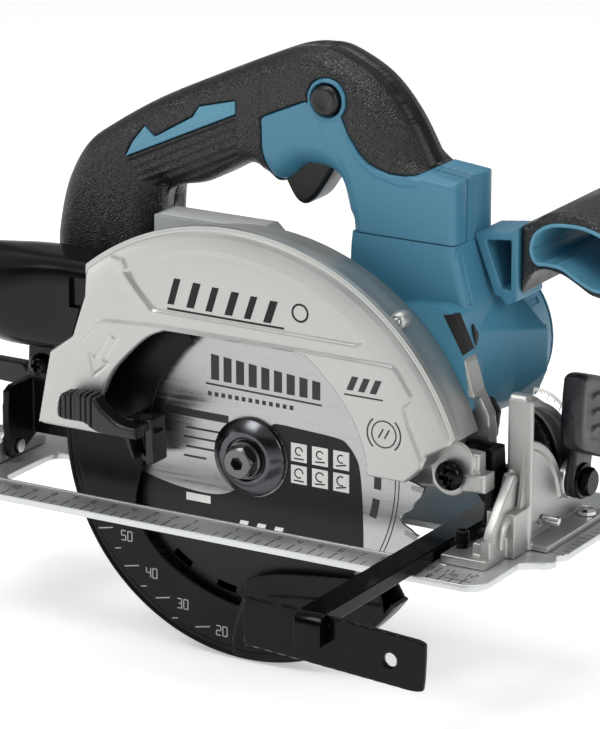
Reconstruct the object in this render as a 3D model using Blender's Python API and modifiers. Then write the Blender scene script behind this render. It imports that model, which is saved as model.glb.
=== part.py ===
"""Cordless circular saw, 165 mm blade on the right-hand side.

Frame: metres, +X forward (cutting direction), +Y to the motor side, +Z up.
The origin is on the underside of the base plate, at the centre of its outline.
All lengths below are in millimetres, measured from the blade axis in X and
from the blade plane in Y, with Z measured from the underside of the base."""
import bpy, bmesh, math
from mathutils import Vector, Matrix

# ---------------------------------------------------------------- dimensions
BLADE_R = 82.5            # 165 mm blade
BLADE_BORE_R = 10.0
TEETH = 24
ARBOR_Z = 26.0            # 56.5 mm cut depth at rest
BASE_T = 3.0
BASE_X0, BASE_X1, BASE_X2 = -150.0, 128.0, 140.0
BASE_Y0, BASE_Y1 = -38.4, 92.0
WIN_X0, WIN_X1, WIN_Y0, WIN_Y1 = -113.0, 95.0, -19.7, 22.0
BEVEL_Y, BEVEL_Z = 3.0, 10.0        # bevel hinge axis, along X
PIVOT_X, PIVOT_Z = 99.0, 37.0       # depth hinge axis, along Y
GUIDE_R = 157.0                     # depth guide arc about the depth hinge
DEPTH_BOLT_DEG = -4.5
CASE_C = (0.5, 16.3)                # centre of the blade case rim
CASE_R = 112.0
CAVITY_R = 90.3
GUARD_R = 88.7
IDLER = (27.0, 44.0)
MOTOR = (55.0, 66.0)
CLAMP_R, CLAMP_DEG = 47.0, 16.5
TRIGGER_AXIS = (26.0, 152.0)
LOCKOFF = (23.0, 176.5)
HANDLE_Y0, HANDLE_Y1, HANDLE_YM = 20.0, 54.0, 37.0
FINENESS = 0.5            # round pieces: share of the full facet count

OX = (BASE_X0 + BASE_X2) / 2
OY = (BASE_Y0 + BASE_Y1) / 2
MM = 0.001

for o in list(bpy.data.objects):
    bpy.data.objects.remove(o, do_unlink=True)

saw = bpy.data.collections.new("circular_saw")
tools = bpy.data.collections.new("cutters")
bpy.context.scene.collection.children.link(saw)
bpy.context.scene.collection.children.link(tools)


def P(x, y, z):
    return Vector(((x - OX) * MM, (y - OY) * MM, z * MM))


# ---------------------------------------------------------------- materials
def material(name, rgb, rough, metal=0.0):
    m = bpy.data.materials.new(name)
    m.use_nodes = True
    b = m.node_tree.nodes["Principled BSDF"]
    b.inputs["Base Color"].default_value = (*rgb, 1)
    b.inputs["Roughness"].default_value = rough
    b.inputs["Metallic"].default_value = metal
    m.diffuse_color = (*rgb, 1)
    return m


FINISH = {
    "diecast": ((0.62, 0.63, 0.62), 0.42, 1.0),
    "zinc": ((0.66, 0.68, 0.70), 0.32, 1.0),
    "blade_steel": ((0.60, 0.59, 0.57), 0.28, 1.0),
    "oxide": ((0.10, 0.10, 0.10), 0.38, 1.0),
    "black_gloss": ((0.012, 0.012, 0.013), 0.18, 0.0),
    "black_plastic": ((0.018, 0.018, 0.019), 0.42, 0.0),
    "rubber": ((0.022, 0.022, 0.022), 0.72, 0.0),
    "teal": ((0.063, 0.215, 0.323), 0.38, 0.0),
    "bright": ((0.72, 0.72, 0.72), 0.22, 1.0),
    "copper": ((0.72, 0.33, 0.16), 0.35, 1.0),
    "board": ((0.03, 0.14, 0.06), 0.5, 0.0),
    "grey_plastic": ((0.28, 0.29, 0.30), 0.5, 0.0),
}


def dress(ob, finish):
    rgb, r, m = FINISH[finish]
    ob.data.materials.clear()
    ob.data.materials.append(material("m_" + ob.name, rgb, r, m))


# ---------------------------------------------------------------- builders
def adopt(name, me, loc, finish=None, smooth=40):
    ob = bpy.data.objects.new(name, me)
    ob.location = loc
    (saw if finish else tools).objects.link(ob)
    if finish:
        dress(ob, finish)
        me.shade_smooth()
        me.set_sharp_from_angle(angle=math.radians(smooth))
    else:
        ob.hide_render = True
        ob.display_type = 'WIRE'
    return ob


AXES = {  # columns: local x, local y, local z in the world
    'y': Matrix(((1, 0, 0), (0, 0, -1), (0, 1, 0))),     # sketch (x, z), thick along y
    'x': Matrix(((0, 0, 1), (1, 0, 0), (0, 1, 0))),      # sketch (y, z), thick along x
    'z': Matrix(((1, 0, 0), (0, 1, 0), (0, 0, 1))),      # sketch (x, y), thick along z
}


def prism(name, axis, outline, a, b, finish=None, holes=(), round_=0.0, res=2):
    """A flat outline in the plane across an axis, thick from a to b."""
    cu = bpy.data.curves.new(name, 'CURVE')
    cu.dimensions = '2D'
    cu.fill_mode = 'BOTH'
    cx = sum(p[0] for p in outline) / len(outline)
    cy = sum(p[1] for p in outline) / len(outline)
    for loop in [outline] + list(holes):
        s = cu.splines.new('POLY')
        s.points.add(len(loop) - 1)
        for q, p in zip(s.points, loop):
            q.co = ((p[0] - cx) * MM, (p[1] - cy) * MM, 0, 1)
        s.use_cyclic_u = True
    cu.extrude = (abs(b - a) / 2 - round_) * MM
    if round_:
        cu.bevel_depth = round_ * MM
        cu.bevel_resolution = res
        cu.offset = -round_ * MM
    tmp = bpy.data.objects.new(name + "_sketch", cu)
    tools.objects.link(tmp)
    dg = bpy.context.evaluated_depsgraph_get()
    dg.update()
    me = bpy.data.meshes.new_from_object(tmp.evaluated_get(dg))
    bpy.data.objects.remove(tmp, do_unlink=True)
    bm = bmesh.new()
    bm.from_mesh(me)
    bmesh.ops.remove_doubles(bm, verts=bm.verts, dist=1e-6)
    bmesh.ops.transform(bm, matrix=AXES[axis].to_4x4(), verts=bm.verts)
    bmesh.ops.recalc_face_normals(bm, faces=bm.faces)
    bm.to_mesh(me)
    bm.free()
    m = (a + b) / 2
    loc = {'y': P(cx, m, cy), 'x': P(m, cx, cy), 'z': P(cx, cy, m)}[axis]
    return adopt(name, me, loc, finish)


def box(name, x0, x1, y0, y1, z0, z1, finish=None, bevel=0.0):
    me = bpy.data.meshes.new(name)
    bm = bmesh.new()
    bmesh.ops.create_cube(bm, size=1.0)
    bmesh.ops.scale(bm, vec=((x1 - x0) * MM, (y1 - y0) * MM, (z1 - z0) * MM), verts=bm.verts)
    bm.to_mesh(me)
    bm.free()
    ob = adopt(name, me, P((x0 + x1) / 2, (y0 + y1) / 2, (z0 + z1) / 2), finish)
    if bevel:
        bv = ob.modifiers.new("edges", 'BEVEL')
        bv.width = bevel * MM
        bv.segments = 2
    return ob


def rod(name, axis, c, r, a, b, finish=None, seg=32, r2=None):
    """A cylinder or a cone: c is its centre in the plane across the axis."""
    seg = max(12, 2 * round(seg * FINENESS / 2))
    me = bpy.data.meshes.new(name)
    bm = bmesh.new()
    bmesh.ops.create_cone(bm, cap_ends=True, segments=seg, radius1=r * MM,
                          radius2=(r if r2 is None else r2) * MM, depth=abs(b - a) * MM)
    if axis == 'y':      # local z goes to +y
        bmesh.ops.transform(bm, matrix=Matrix.Rotation(-math.pi / 2, 4, 'X'), verts=bm.verts)
    if axis == 'x':
        bmesh.ops.transform(bm, matrix=Matrix.Rotation(math.pi / 2, 4, 'Y'), verts=bm.verts)
    bm.to_mesh(me)
    bm.free()
    m = (a + b) / 2
    loc = {'y': P(c[0], m, c[1]), 'x': P(m, c[0], c[1]), 'z': P(c[0], c[1], m)}[axis]
    return adopt(name, me, loc, finish)


def turned(name, axis, c, profile, finish=None, seg=40):
    """A turned solid or ring: profile is a closed loop of (radius, along), radius > 0,
    or an open run that starts and ends on the axis."""
    me = bpy.data.meshes.new(name)
    closed = profile[0][0] > 1e-6 or profile[-1][0] > 1e-6
    seg = max(12, 2 * round(seg * FINENESS / 2))
    vs = [(r * MM, 0, t * MM) for r, t in profile]
    n = len(vs)
    es = [(i, i + 1) for i in range(n - 1)] + ([(n - 1, 0)] if closed else [])
    me.from_pydata(vs, es, [])
    ob = bpy.data.objects.new(name + "_profile", me)
    tools.objects.link(ob)
    sc = ob.modifiers.new("turn", 'SCREW')
    sc.axis = 'Z'
    sc.steps = sc.render_steps = seg
    sc.use_merge_vertices = True
    sc.merge_threshold = 0.00001
    dg = bpy.context.evaluated_depsgraph_get()
    dg.update()
    out = bpy.data.meshes.new_from_object(ob.evaluated_get(dg))
    bpy.data.objects.remove(ob, do_unlink=True)
    bm = bmesh.new()
    bm.from_mesh(out)
    bmesh.ops.remove_doubles(bm, verts=bm.verts, dist=1e-6)
    if axis == 'y':
        bmesh.ops.transform(bm, matrix=Matrix.Rotation(-math.pi / 2, 4, 'X'), verts=bm.verts)
    if axis == 'x':
        bmesh.ops.transform(bm, matrix=Matrix.Rotation(math.pi / 2, 4, 'Y'), verts=bm.verts)
    bmesh.ops.recalc_face_normals(bm, faces=bm.faces)
    bm.to_mesh(out)
    bm.free()
    loc = {'y': P(c[0], 0, c[1]), 'x': P(0, c[0], c[1]), 'z': P(c[0], c[1], 0)}[axis]
    return adopt(name, out, loc, finish)


def loft_y(name, sections, finish=None):
    """A solid through unlike outlines: sections are (y, [(x, z)...]) with equal counts."""
    me = bpy.data.meshes.new(name)
    bm = bmesh.new()
    rings = [[bm.verts.new(P(x, y, z)) for x, z in pts] for y, pts in sections]
    n = len(rings[0])
    bm.faces.new(rings[0])
    bm.faces.new(list(reversed(rings[-1])))
    for r0, r1 in zip(rings, rings[1:]):
        for i in range(n):
            j = (i + 1) % n
            bm.faces.new((r0[i], r1[i], r1[j], r0[j]))
    bmesh.ops.recalc_face_normals(bm, faces=bm.faces)
    bm.to_mesh(me)
    bm.free()
    return adopt(name, me, Vector((0, 0, 0)), finish)


def boolean(ob, op, *others, solver='EXACT'):
    for k in others:
        m = ob.modifiers.new(op.lower(), 'BOOLEAN')
        m.operation = op
        m.object = k
        m.solver = solver
    return ob


def cut(ob, *others, solver='EXACT'):
    return boolean(ob, 'DIFFERENCE', *others, solver=solver)


def join(ob, *others, solver='EXACT'):
    return boolean(ob, 'UNION', *others, solver=solver)


def arc(c, r, d0, d1, n):
    return [(c[0] + r * math.cos(math.radians(d0 + (d1 - d0) * i / n)),
             c[1] + r * math.sin(math.radians(d0 + (d1 - d0) * i / n))) for i in range(n + 1)]


def ring_sector(c, r0, r1, d0, d1, n):
    return arc(c, r1, d0, d1, n) + arc(c, r0, d1, d0, n)


def smooth(pts, n=4):
    """A closed Catmull-Rom curve through the points; a point with a third value is a corner."""
    out = []
    m = len(pts)
    for i in range(m):
        p0, p1, p2, p3 = pts[i - 1], pts[i], pts[(i + 1) % m], pts[(i + 2) % m]
        if len(p1) > 2:
            p0 = p1
        if len(p2) > 2:
            p3 = p2
        straight = len(p1) > 2 and len(p2) > 2
        for k in range(1 if straight else n):
            t = k / n
            out.append(tuple(0.5 * (2 * p1[a] + (p2[a] - p0[a]) * t
                       + (2 * p0[a] - 5 * p1[a] + 4 * p2[a] - p3[a]) * t * t
                       + (3 * p1[a] - p0[a] - 3 * p2[a] + p3[a]) * t ** 3) for a in (0, 1)))
    return out


def inset(pts, d):
    """The outline moved inward by d (counter-clockwise or clockwise)."""
    area = sum(a[0] * b[1] - b[0] * a[1] for a, b in zip(pts, pts[1:] + pts[:1]))
    s = 1 if area > 0 else -1
    out = []
    for i, p in enumerate(pts):
        a, b = Vector(pts[i - 1]), Vector(pts[(i + 1) % len(pts)])
        p = Vector(p)
        e0, e1 = (p - a).normalized(), (b - p).normalized()
        n = Vector((-(e0.y + e1.y), e0.x + e1.x))
        n = n.normalized() if n.length > 1e-9 else Vector((-e0.y, e0.x))
        k = max(0.5, n.dot(Vector((-e0.y, e0.x))))
        out.append(tuple(p + n * (s * d / k)))
    return out


def hexagon(c, af, turn=0):
    r = af / 2 / math.cos(math.pi / 6)
    return [(c[0] + r * math.cos(math.radians(60 * i + turn)),
             c[1] + r * math.sin(math.radians(60 * i + turn))) for i in range(6)]


def hang(empty_name, loc, obs):
    """An empty on a joint's axis; the moving pieces are its children."""
    e = bpy.data.objects.new(empty_name, None)
    e.location = loc
    saw.objects.link(e)
    bpy.context.view_layer.update()
    for o in obs:
        o.parent = e
        o.matrix_parent_inverse = Matrix.Translation(-Vector(loc))
    return e


ARBOR = (0.0, ARBOR_Z)
PIV = (PIVOT_X, PIVOT_Z)
BEV = (BEVEL_Y, BEVEL_Z)
cl = math.radians(CLAMP_DEG)
CLAMP = (BEVEL_Y + CLAMP_R * math.cos(cl), BEVEL_Z + CLAMP_R * math.sin(cl))
db = math.radians(DEPTH_BOLT_DEG)
DBOLT = (PIVOT_X - GUIDE_R * math.cos(db), PIVOT_Z + GUIDE_R * math.sin(db))

# ================================================================ base
outline = (arc((BASE_X0 + 8, BASE_Y0 + 8), 8, 180, 270, 5)
           + arc((BASE_X1 - 9, BASE_Y0 + 9), 9, 270, 360, 5)
           + [(128, -5), (132, 0), (138.6, 2), (139.4, 8), (137.6, 11), (BASE_X2, 15)]
           + arc((BASE_X2 - 8, BASE_Y1 - 8), 8, 0, 90, 5)
           + arc((BASE_X0 + 8, BASE_Y1 - 8), 8, 90, 180, 5))
window = (arc((WIN_X0 + 6, WIN_Y0 + 6), 6, 180, 270, 4) + arc((WIN_X1 - 6, WIN_Y0 + 6), 6, 270, 360, 4)
          + arc((WIN_X1 - 6, WIN_Y1 - 6), 6, 0, 90, 4) + arc((WIN_X0 + 6, WIN_Y1 - 6), 6, 90, 180, 4))
base = prism("base_plate", 'z', outline, 0, BASE_T, "zinc", holes=[window])
rib = box("rib_far", -140, 80, 82, 86, BASE_T - 1, BASE_T + 4)
rib2 = box("rib_rear", -146, -142, 34, 86, BASE_T - 1, BASE_T + 3)
join(base, rib, rib2)

rim = [(11, 3.3), (11, 66), (12.5, 68), (16, 68.2), (21.6, 65.4), (32.8, 58.8), (40.4, 52.6),
       (50, 42), (57, 31), (61, 20), (63, 10), (63.5, 3.3)]
slot = ring_sector(BEV, 43.3, 50.7, 9, 74, 14)
bracket = prism("bevel_bracket", 'x', rim, 114.5, 122.0, "diecast", holes=[slot])
slot_step = prism("slot_step", 'x', ring_sector(BEV, 41, 54, 8, 75, 14), 116.4, 124)
wall = box("near_wall", 114.5, 125.3, 10.4, 13.2, 3.3, 66.5)
foot = box("foot", 112, 124.5, -2, 12, 3.3, 22)
gusset = prism("gusset", 'y', [(112.2, 20), (124, 20), (120, 24), (117.2, 36), (115, 36), (112.2, 24)], 6, 12)
step1 = box("step_low", 100.6, 121, -20, -5, 3.3, 7)
step2 = box("step_high", 112, 121, -14, 2, 3.3, 12)
foot2 = box("rim_foot", 112.2, 133, 11.5, 66, 3.3, 6)
join(bracket, wall, foot, step1, step2, foot2, gusset)
cut(bracket, rod("hinge_bore", 'x', BEV, 3.2, 111, 119, seg=20),
    rod("screw_bore", 'z', (104, -8), 2.4, 3, 8, seg=16),
    rod("stop_bore", 'x', (14 + 12, 12), 2.3, 113, 123, seg=16), slot_step)
stop_pin = rod("bevel_stop_pin", 'x', (26, 12), 2.0, 115, 131, "bright", seg=20)
fence_screw = turned("fence_clamp_screw", 'z', (104, -8),
                     [(0, 14), (2.4, 14), (3.0, 13.4), (3.0, 8.2), (2.1, 7.6), (2.1, 3.6), (0, 3.6)], "bright", 24)
front_pin = rod("front_hinge_pin", 'x', BEV, 2.9, 107, 118.5, "bright", seg=20)
bracket_rivet = turned("bracket_rivet", 'z', (127.6, 57), [(0, 9), (3, 8.6), (4.2, 7.6), (4.4, 6.3), (0, 6.3)], "bright", 20)

rear_br = prism("rear_bracket", 'x',
                [(-6, 3.3), (-6, 12)] + arc(BEV, 7.5, 160, 20, 8) + [(14, 10), (30, 7), (30, 3.3)],
                -131, -123.5, "diecast")
join(rear_br, box("rear_foot", -143.5, -123.5, -10, 30, 3.3, 6))
cut(rear_br, rod("rear_bore", 'x', BEV, 3.2, -133, -122, seg=20))
rear_pin = rod("rear_hinge_pin", 'x', BEV, 2.9, -131.4, -118, "bright", seg=20)
rear_rivet = turned("rear_rivet", 'z', (-137.6, 2), [(0, 9), (3, 8.6), (4.4, 7.4), (4.6, 6.3), (0, 6.3)], "bright", 20)

# ================================================================ rip fence
bar = prism("fence_bar", 'y', [(87, 3.6), (99, 3.6), (99, 9.4), (87, 9.4)], -113.7, 46, "black_gloss")
drop = box("fence_drop", 87, 99, -114, -108.2, -3.5, 9.4)
join(bar, drop)
plate = prism("fence_plate", 'y',
              [(61, -11), (137, -16), (141, -14), (142, 3), (139, 5.3), (103, 7.6), (103, 1), (85, 1), (85, 8.6), (61, 9)],
              -107.9, -105.2, "black_gloss", holes=[arc((126.5, -5), 2.9, 0, 345, 15)])

# ================================================================ tilt frame
slot_front = arc(BEV, 6.3, 250, 120, 7) + [(1.5, 20), (3.5, 30), (3.5, 46), (13.8, 46), (15, 35.5), (50, 33), (56, 24),
                                         (53, 16), (40, 13), (20, 9), (12, 7)]
tilt = prism("tilt_front", 'x', slot_front, 108.6, 111.7, "oxide")
ear = prism("ear", 'y', arc(PIV, 9, 90, 250, 10) + [(104, 20), (110, 18), (110, 46)], 10.6, 13.8)
join(tilt, ear)
cut(tilt, rod("tilt_bore", 'x', BEV, 3.2, 106, 113, seg=20), rod("clamp_bore", 'x', CLAMP, 3.8, 104, 113, seg=20),
    rod("ear_bore", 'y', PIV, 4.3, 9, 15, seg=24))
clamp_bolt = prism("bevel_clamp_bolt", 'x', hexagon(CLAMP, 11), 130.3, 135, "black_gloss")
join(clamp_bolt, rod("clamp_shank", 'x', CLAMP, 3.4, 106.5, 131, seg=20))
washer = prism("bevel_clamp_washer", 'x',
               [(p[0], p[1]) for p in arc((CLAMP[0], CLAMP[1]), 8, 0, 345, 23)],
               122.4, 125.2, "zinc", holes=[arc(CLAMP, 3.8, 0, 345, 15)])
paddle = smooth([(31.5, 44), (30.5, 60), (32.5, 72, 1), (39, 72.6), (60, 65.5), (72, 61), (75, 55), (75, 36),
                 (70, 30), (58, 31.5), (45, 36.5)], 3)
lever = prism("bevel_clamp_lever", 'x', paddle, 127.6, 137.4, "black_plastic", round_=2.0)
neck = prism("lever_neck", 'x', arc(CLAMP, 8, 190, 350, 10) + [(CLAMP[0] + 11, 42), (CLAMP[0] - 5, 44)], 125.5, 129.8)
join(lever, neck)
cut(lever, rod("lever_bore", 'x', CLAMP, 3.8, 124, 131, seg=20), rod("lever_face", 'x', CLAMP, 8.3, 129.9, 140, seg=24),
    *[box(f"groove_{k}", 136.2, 139, 42, 62, 46 + 7 * k, 48.5 + 7 * k) for k in range(3)])

guide = prism("tilt_rear_guide", 'y', ring_sector(PIV, GUIDE_R - 8, GUIDE_R + 8, 180 + 9, 180 - 29, 18), 14.3, 17.3, "oxide")
arm = prism("guide_arm", 'y', [(-121, 13), (-62, 13), (-57, 22), (-62, 36), (-121, 38)], 14.3, 17.3)
post = prism("rear_post", 'x', arc(BEV, 6.4, 230, 160, 5) + [(-5, 22), (-4, 36), (0, 38), (17.3, 38), (17.3, 12), (9, 8)],
             -122.6, -119.4)
join(guide, arm, post)
cut(guide, prism("guide_slot", 'y', ring_sector(PIV, GUIDE_R - 3.4, GUIDE_R + 3.4, 180 + 6, 180 - 27, 16), 13, 19),
    rod("post_bore", 'x', BEV, 3.2, -125, -117, seg=20))
pivot_pin = turned("depth_pivot_pin", 'y', PIV,
                   [(0, -14.2), (2.5, -13.9), (4.6, -13), (5.9, -11.4), (6.2, -9.4), (4.0, -9.4), (4.0, 19.4), (0, 19.4)], "black_gloss", 32)

# ================================================================ blade case
case = turned("blade_case", 'y', CASE_C,
              [(0, -21), (101.5, -21), (106, -20), (110.5, -17.6), (CASE_R, -15.6), (109.4, -11), (107.5, 0), (107, 10), (0, 10)],
              "diecast", 84)
edge = prism("case_outline", 'y',
             [(-70, 140), (-70, 90), (-76, 72), (-87.5, 63.5), (-94, 31), (-62, 31), (0, 34.2), (84, 34.2), (87, 39), (94.3, 42), (99.5, 76), (110, 90),
              (110, 140)], -25, 14)
boolean(case, 'INTERSECT', edge)
boss = rod("pivot_boss", 'y', PIV, 9.2, -9, 9.9, seg=32)
web = prism("boss_web", 'y', [(80, 34.5), (88, 31), (97.5, 23), (99.6, 24.6), (100, 32), (108, 33), (108, 40), (98, 46), (93, 60), (80, 60)], -6, 9.9)
lug = box("front_lug", 99, 113.5, -8, 1.5, 28, 38.5)
boss2 = rod("rim_boss", 'y', (76, 101), 6.5, -7.5, 9.9, seg=24)
tab = prism("nozzle_lug", 'y', [(-108, 46), (-84, 42), (-84, 58), (-104, 57.5)], -2.6, 6)
join(case, boss, web, lug, boss2, tab)
win_out = [(-62.5, 20), (-62, 44), (-60, 50.5), (-55.5, 59.5), (-47.6, 68.6), (-39.4, 76.2), (-32.1, 80), (16, 81), (34.5, 80.8),
           (40.8, 77.6), (45.4, 73.4), (52.5, 66.4), (58.8, 57.7), (63.6, 47.9), (66, 36.8), (66.4, 20)]
cut(case, rod("blade_room", 'y', ARBOR, CAVITY_R, -18, 7.5, seg=72),
    prism("case_window", 'y', win_out, -24, -15),
    rod("hub_hole", 'y', ARBOR, 21.2, 5, 14, seg=40),
    prism("under", 'y', [(-62, -10), (-20, -10), (20, -10), (64, -10), (64, 31.3), (20, 47), (-20, 47), (-62, 31)], 5, 14),
    rod("dust_port", 'x', (-5, 83), 9.5, -100, -55, seg=28),
    rod("pin_bore", 'y', PIV, 4.3, -16, 14, seg=24),
    rod("pin_seat", 'y', PIV, 6.6, -16, -9.3 + 0.2, seg=28),
    rod("rim_bore", 'y', (76, 101), 2.1, -10, 12, seg=16),
    rod("tab_bore", 'y', (-100, 52.5), 2.3, -4, 8, seg=16))
case_screw = turned("case_screw", 'y', (76, 101), [(0, -10.6), (2.4, -10.5), (3.6, -9.8), (3.9, -7.8), (1.8, -7.8), (1.8, 9), (0, 9)], "bright", 24)
nozzle_screw = turned("nozzle_screw", 'y', (-100, 52.5), [(0, -12.4), (3.4, -12.2), (4.6, -11), (4.8, -7.9), (2.0, -7.9), (2.0, 5.5), (0, 5.5)], "black_gloss", 24)

# dust nozzle
NZ = (-3.0, 81.5)
noz = turned("dust_nozzle", 'x', NZ,
             [(18.5, -186), (19.6, -185), (19.8, -150), (21.4, -128), (21.4, -78.5), (17.5, -78.5), (17.5, -120), (16.5, -150), (16.5, -186)],
             "black_gloss", 44)
cut(noz, prism("nozzle_seat", 'y', [(-70.3, 140), (-70.3, 90), (-76.3, 71.9), (-87.8, 63.3), (-94.3, 31), (-60, 20), (-60, 140)], -26, 24))
join(noz, prism("nozzle_tab", 'y', [(-107, 46.5), (-94.5, 46.5), (-90, 62), (-92, 66), (-106, 66)], -7.6, -2.9))
cut(noz, rod("nozzle_tab_bore", 'y', (-100, 52.5), 2.3, -9, -1, seg=16))

# ================================================================ gear case
gc = arc(ARBOR, 21.8, 205, 300, 7) + [(27, 13.6), (45, 16.5), (66, 22), (86, 24), (96, 27.5), (103, 33), (104.8, 40), (104, 56),
      (98.5, 66), (95, 78), (90, 88), (70, 94), (30, 94), (4, 82), (-10, 62), (-16, 52), (-21.5, 40), (-22, 34), (-66, 33), (-66, 17), (-21, 17)]
gear_case = prism("gear_case", 'y', gc, 10.3, 20.7, "diecast")
hub = rod("case_hub", 'y', ARBOR, 19.6, 3.2, 11, seg=40)
join(gear_case, hub, solver='MANIFOLD')
gin = (arc(ARBOR, 19.4, 175, 305, 9) + arc(IDLER, 27.4, 265, 345, 6) + arc(MOTOR, 12, -40, 110, 6) + arc(IDLER, 27.4, 105, 150, 4)
       + [(-4, 58), (-12.5, 51.5), (-13, 42), (-18, 34)])
cut(gear_case, prism("gear_room", 'y', gin, 13.2, 22), box("arm_relief", -70, -23, 9, 17.8, 10, 40),
    box("ear_relief", 84, 114, 9, 14.2, 8, 64), rod("pin_end", 'y', PIV, 4.3, 12, 22, seg=24),
    rod("bearing_seat", 'y', ARBOR, 14.3, 2, 11.2, seg=32), rod("spindle_hole", 'y', ARBOR, 7.0, 2, 16, seg=24),
    rod("depth_bolt_hole", 'y', DBOLT, 3.3, 16, 22, seg=20))
retainer = prism("hub_retainer", 'y', arc(ARBOR, 22.5, 0, 348, 29), 1.4, 2.9, "zinc", holes=[arc(ARBOR, 16.8, 0, 345, 23)])

cover = arc(ARBOR, 21.0, 205, 300, 7) + [(27, 14.5), (45, 18), (68, 24), (90, 34), (103, 45), (104.5, 56), (98, 66), (96, 80),
         (92, 91), (84, 98), (30, 96), (2, 84), (-9, 64), (-16, 51), (-21, 38), (-21, 26)]
gear_cover = prism("gear_cover", 'y', cover, 21.0, 24.5, "black_plastic",
                   holes=[arc(MOTOR, 9.8, 0, 350, 24), arc(ARBOR, 4.8, 0, 340, 16), arc(IDLER, 3.3, 0, 340, 14),
                          arc((-8, 46), 2.9, 0, 340, 12)])
cut(gear_cover, rod("lock_seat", 'y', (-8, 46), 5.6, 21.6, 26, seg=20))

# ================================================================ spindle group
def blade_outline():
    pts = []
    for i in range(TEETH):
        a0 = -360.0 * i / TEETH
        for r, d in ((BLADE_R, 0.0), (BLADE_R - 1.2, -2.6), (BLADE_R - 4.2, -5.2), (BLADE_R - 5.2, -8.0), (BLADE_R - 9.2, -10.6),
                     (BLADE_R - 9.6, -12.2), (BLADE_R - 7.6, -13.4), (BLADE_R - 4.5, -14.2)):
            a = math.radians(a0 + d)
            pts.append((ARBOR[0] + r * math.cos(a), ARBOR[1] + r * math.sin(a)))
    return pts


blade = prism("saw_blade", 'y', blade_outline(), -0.8, 0.8, "blade_steel", holes=[arc(ARBOR, BLADE_BORE_R, 0, 345, 23)])
inner_flange = turned("inner_flange", 'y', ARBOR, [(9.7, -0.9), (9.7, 1.1), (16, 1.1), (16, 2.4), (15.4, 2.9), (6.3, 2.9), (6.3, -0.9)], "oxide", 40)
outer_flange = turned("outer_flange", 'y', ARBOR, [(3.7, -5.2), (8.6, -5.2), (9.2, -6.0), (11.6, -6.0), (16.9, -2.6), (16.9, -1.2), (3.7, -1.2)], "oxide", 48)
bolt = prism("blade_bolt", 'y', hexagon(ARBOR, 13, 12), -12.4, -7.4, "oxide")
join(bolt, rod("bolt_flange", 'y', ARBOR, 8.2, -7.6, -5.6, seg=32), rod("bolt_shank", 'y', ARBOR, 3.3, -6, 11.5, seg=24))
cut(bolt, prism("bolt_socket", 'y', hexagon(ARBOR, 5, 12), -14, -8.6))
spindle = turned("spindle", 'y', ARBOR, [(0, 14.0), (3.7, 14.0), (3.7, -0.6), (5.9, -0.6), (5.9, 13.3), (5.0, 13.3), (5.0, 16.8),
                                        (4.4, 16.8), (4.4, 23.5), (0, 23.5)], "bright", 28)
sp_gear = turned("spindle_gear", 'y', ARBOR, [(5.3, 13.6), (18.8, 13.6), (18.8, 16.4), (5.3, 16.4)], "bright", 40)
sp_bearing = turned("spindle_bearing", 'y', ARBOR, [(6.2, 3.6), (14.0, 3.6), (14.0, 10.8), (6.2, 10.8)], "bright", 32)
idler = turned("idler_gear", 'y', IDLER, [(0, 13.5), (13.2, 13.5), (13.2, 16.6), (26.7, 16.8), (26.7, 20.0), (3.0, 20.0), (3.0, 24.0), (0, 24.0)], "bright", 40)

# ================================================================ motor
rotor = turned("motor_rotor", 'y', MOTOR, [(0, 16.0), (3.8, 16.0), (3.8, 48), (17.2, 48), (17.2, 82), (3.8, 82), (3.8, 100.5), (0, 100.5)], "bright", 32)
pinion = turned("motor_pinion", 'y', MOTOR, [(4.1, 16.6), (8.5, 16.6), (8.5, 20.2), (4.1, 20.2)], "bright", 24)
fan = turned("motor_fan", 'y', MOTOR, [(4.1, 33), (8, 33), (8, 37), (27.5, 37), (27.5, 43), (4.1, 43)], "black_plastic", 32)
brg_f = turned("motor_bearing_front", 'y', MOTOR, [(4.1, 21.2), (9.5, 21.2), (9.5, 26.2), (4.1, 26.2)], "bright", 28)
brg_r = turned("motor_bearing_rear", 'y', MOTOR, [(4.1, 96.6), (9.0, 96.6), (9.0, 100.8), (4.1, 100.8)], "bright", 28)
stator = turned("motor_stator", 'y', MOTOR, [(17.8, 50), (30.6, 50), (30.6, 80), (17.8, 80)], "copper", 36)

near = [(9, 50), (28, 38), (70, 41), (95, 57), (95, 70), (93, 88), (90.5, 97.3), (84, 122.8), (36, 122.8), (35, 110), (24, 98.3), (9, 97)]
mid = [(9, 49), (28, 36), (71, 38.5), (99, 55), (101, 67), (100.5, 85), (91.5, 98), (84, 122.8), (36, 122.8), (35, 110), (24, 98.3), (9, 97)]
far = [(9, 48), (28, 33.5), (72, 36), (103.5, 54), (108, 65), (108, 83), (92.5, 98.4), (84, 122.8), (36, 122.8), (35, 110), (24, 98.3), (9, 97)]
housing = loft_y("motor_housing", [(24.8, near), (42, mid), (58, far)], "teal")
neck_lip = prism("neck_lip", 'y', [(84, 99), (84, 122.8), (36, 122.8), (35, 110), (27, 99.5)], 20, 30)
tail = rod("motor_tail", 'y', MOTOR, 35.5, 56, 96, seg=40)
join(housing, neck_lip, tail)
cut(housing, rod("motor_room", 'y', MOTOR, 31.0, 19, 98, seg=44))
end_cap = turned("motor_end_cap", 'y', MOTOR, [(0, 104.5), (24, 104.5), (31, 102), (35, 98), (35.5, 96.3), (9.4, 96.3), (9.4, 101.2), (0, 101.2)], "teal", 40)

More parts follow.
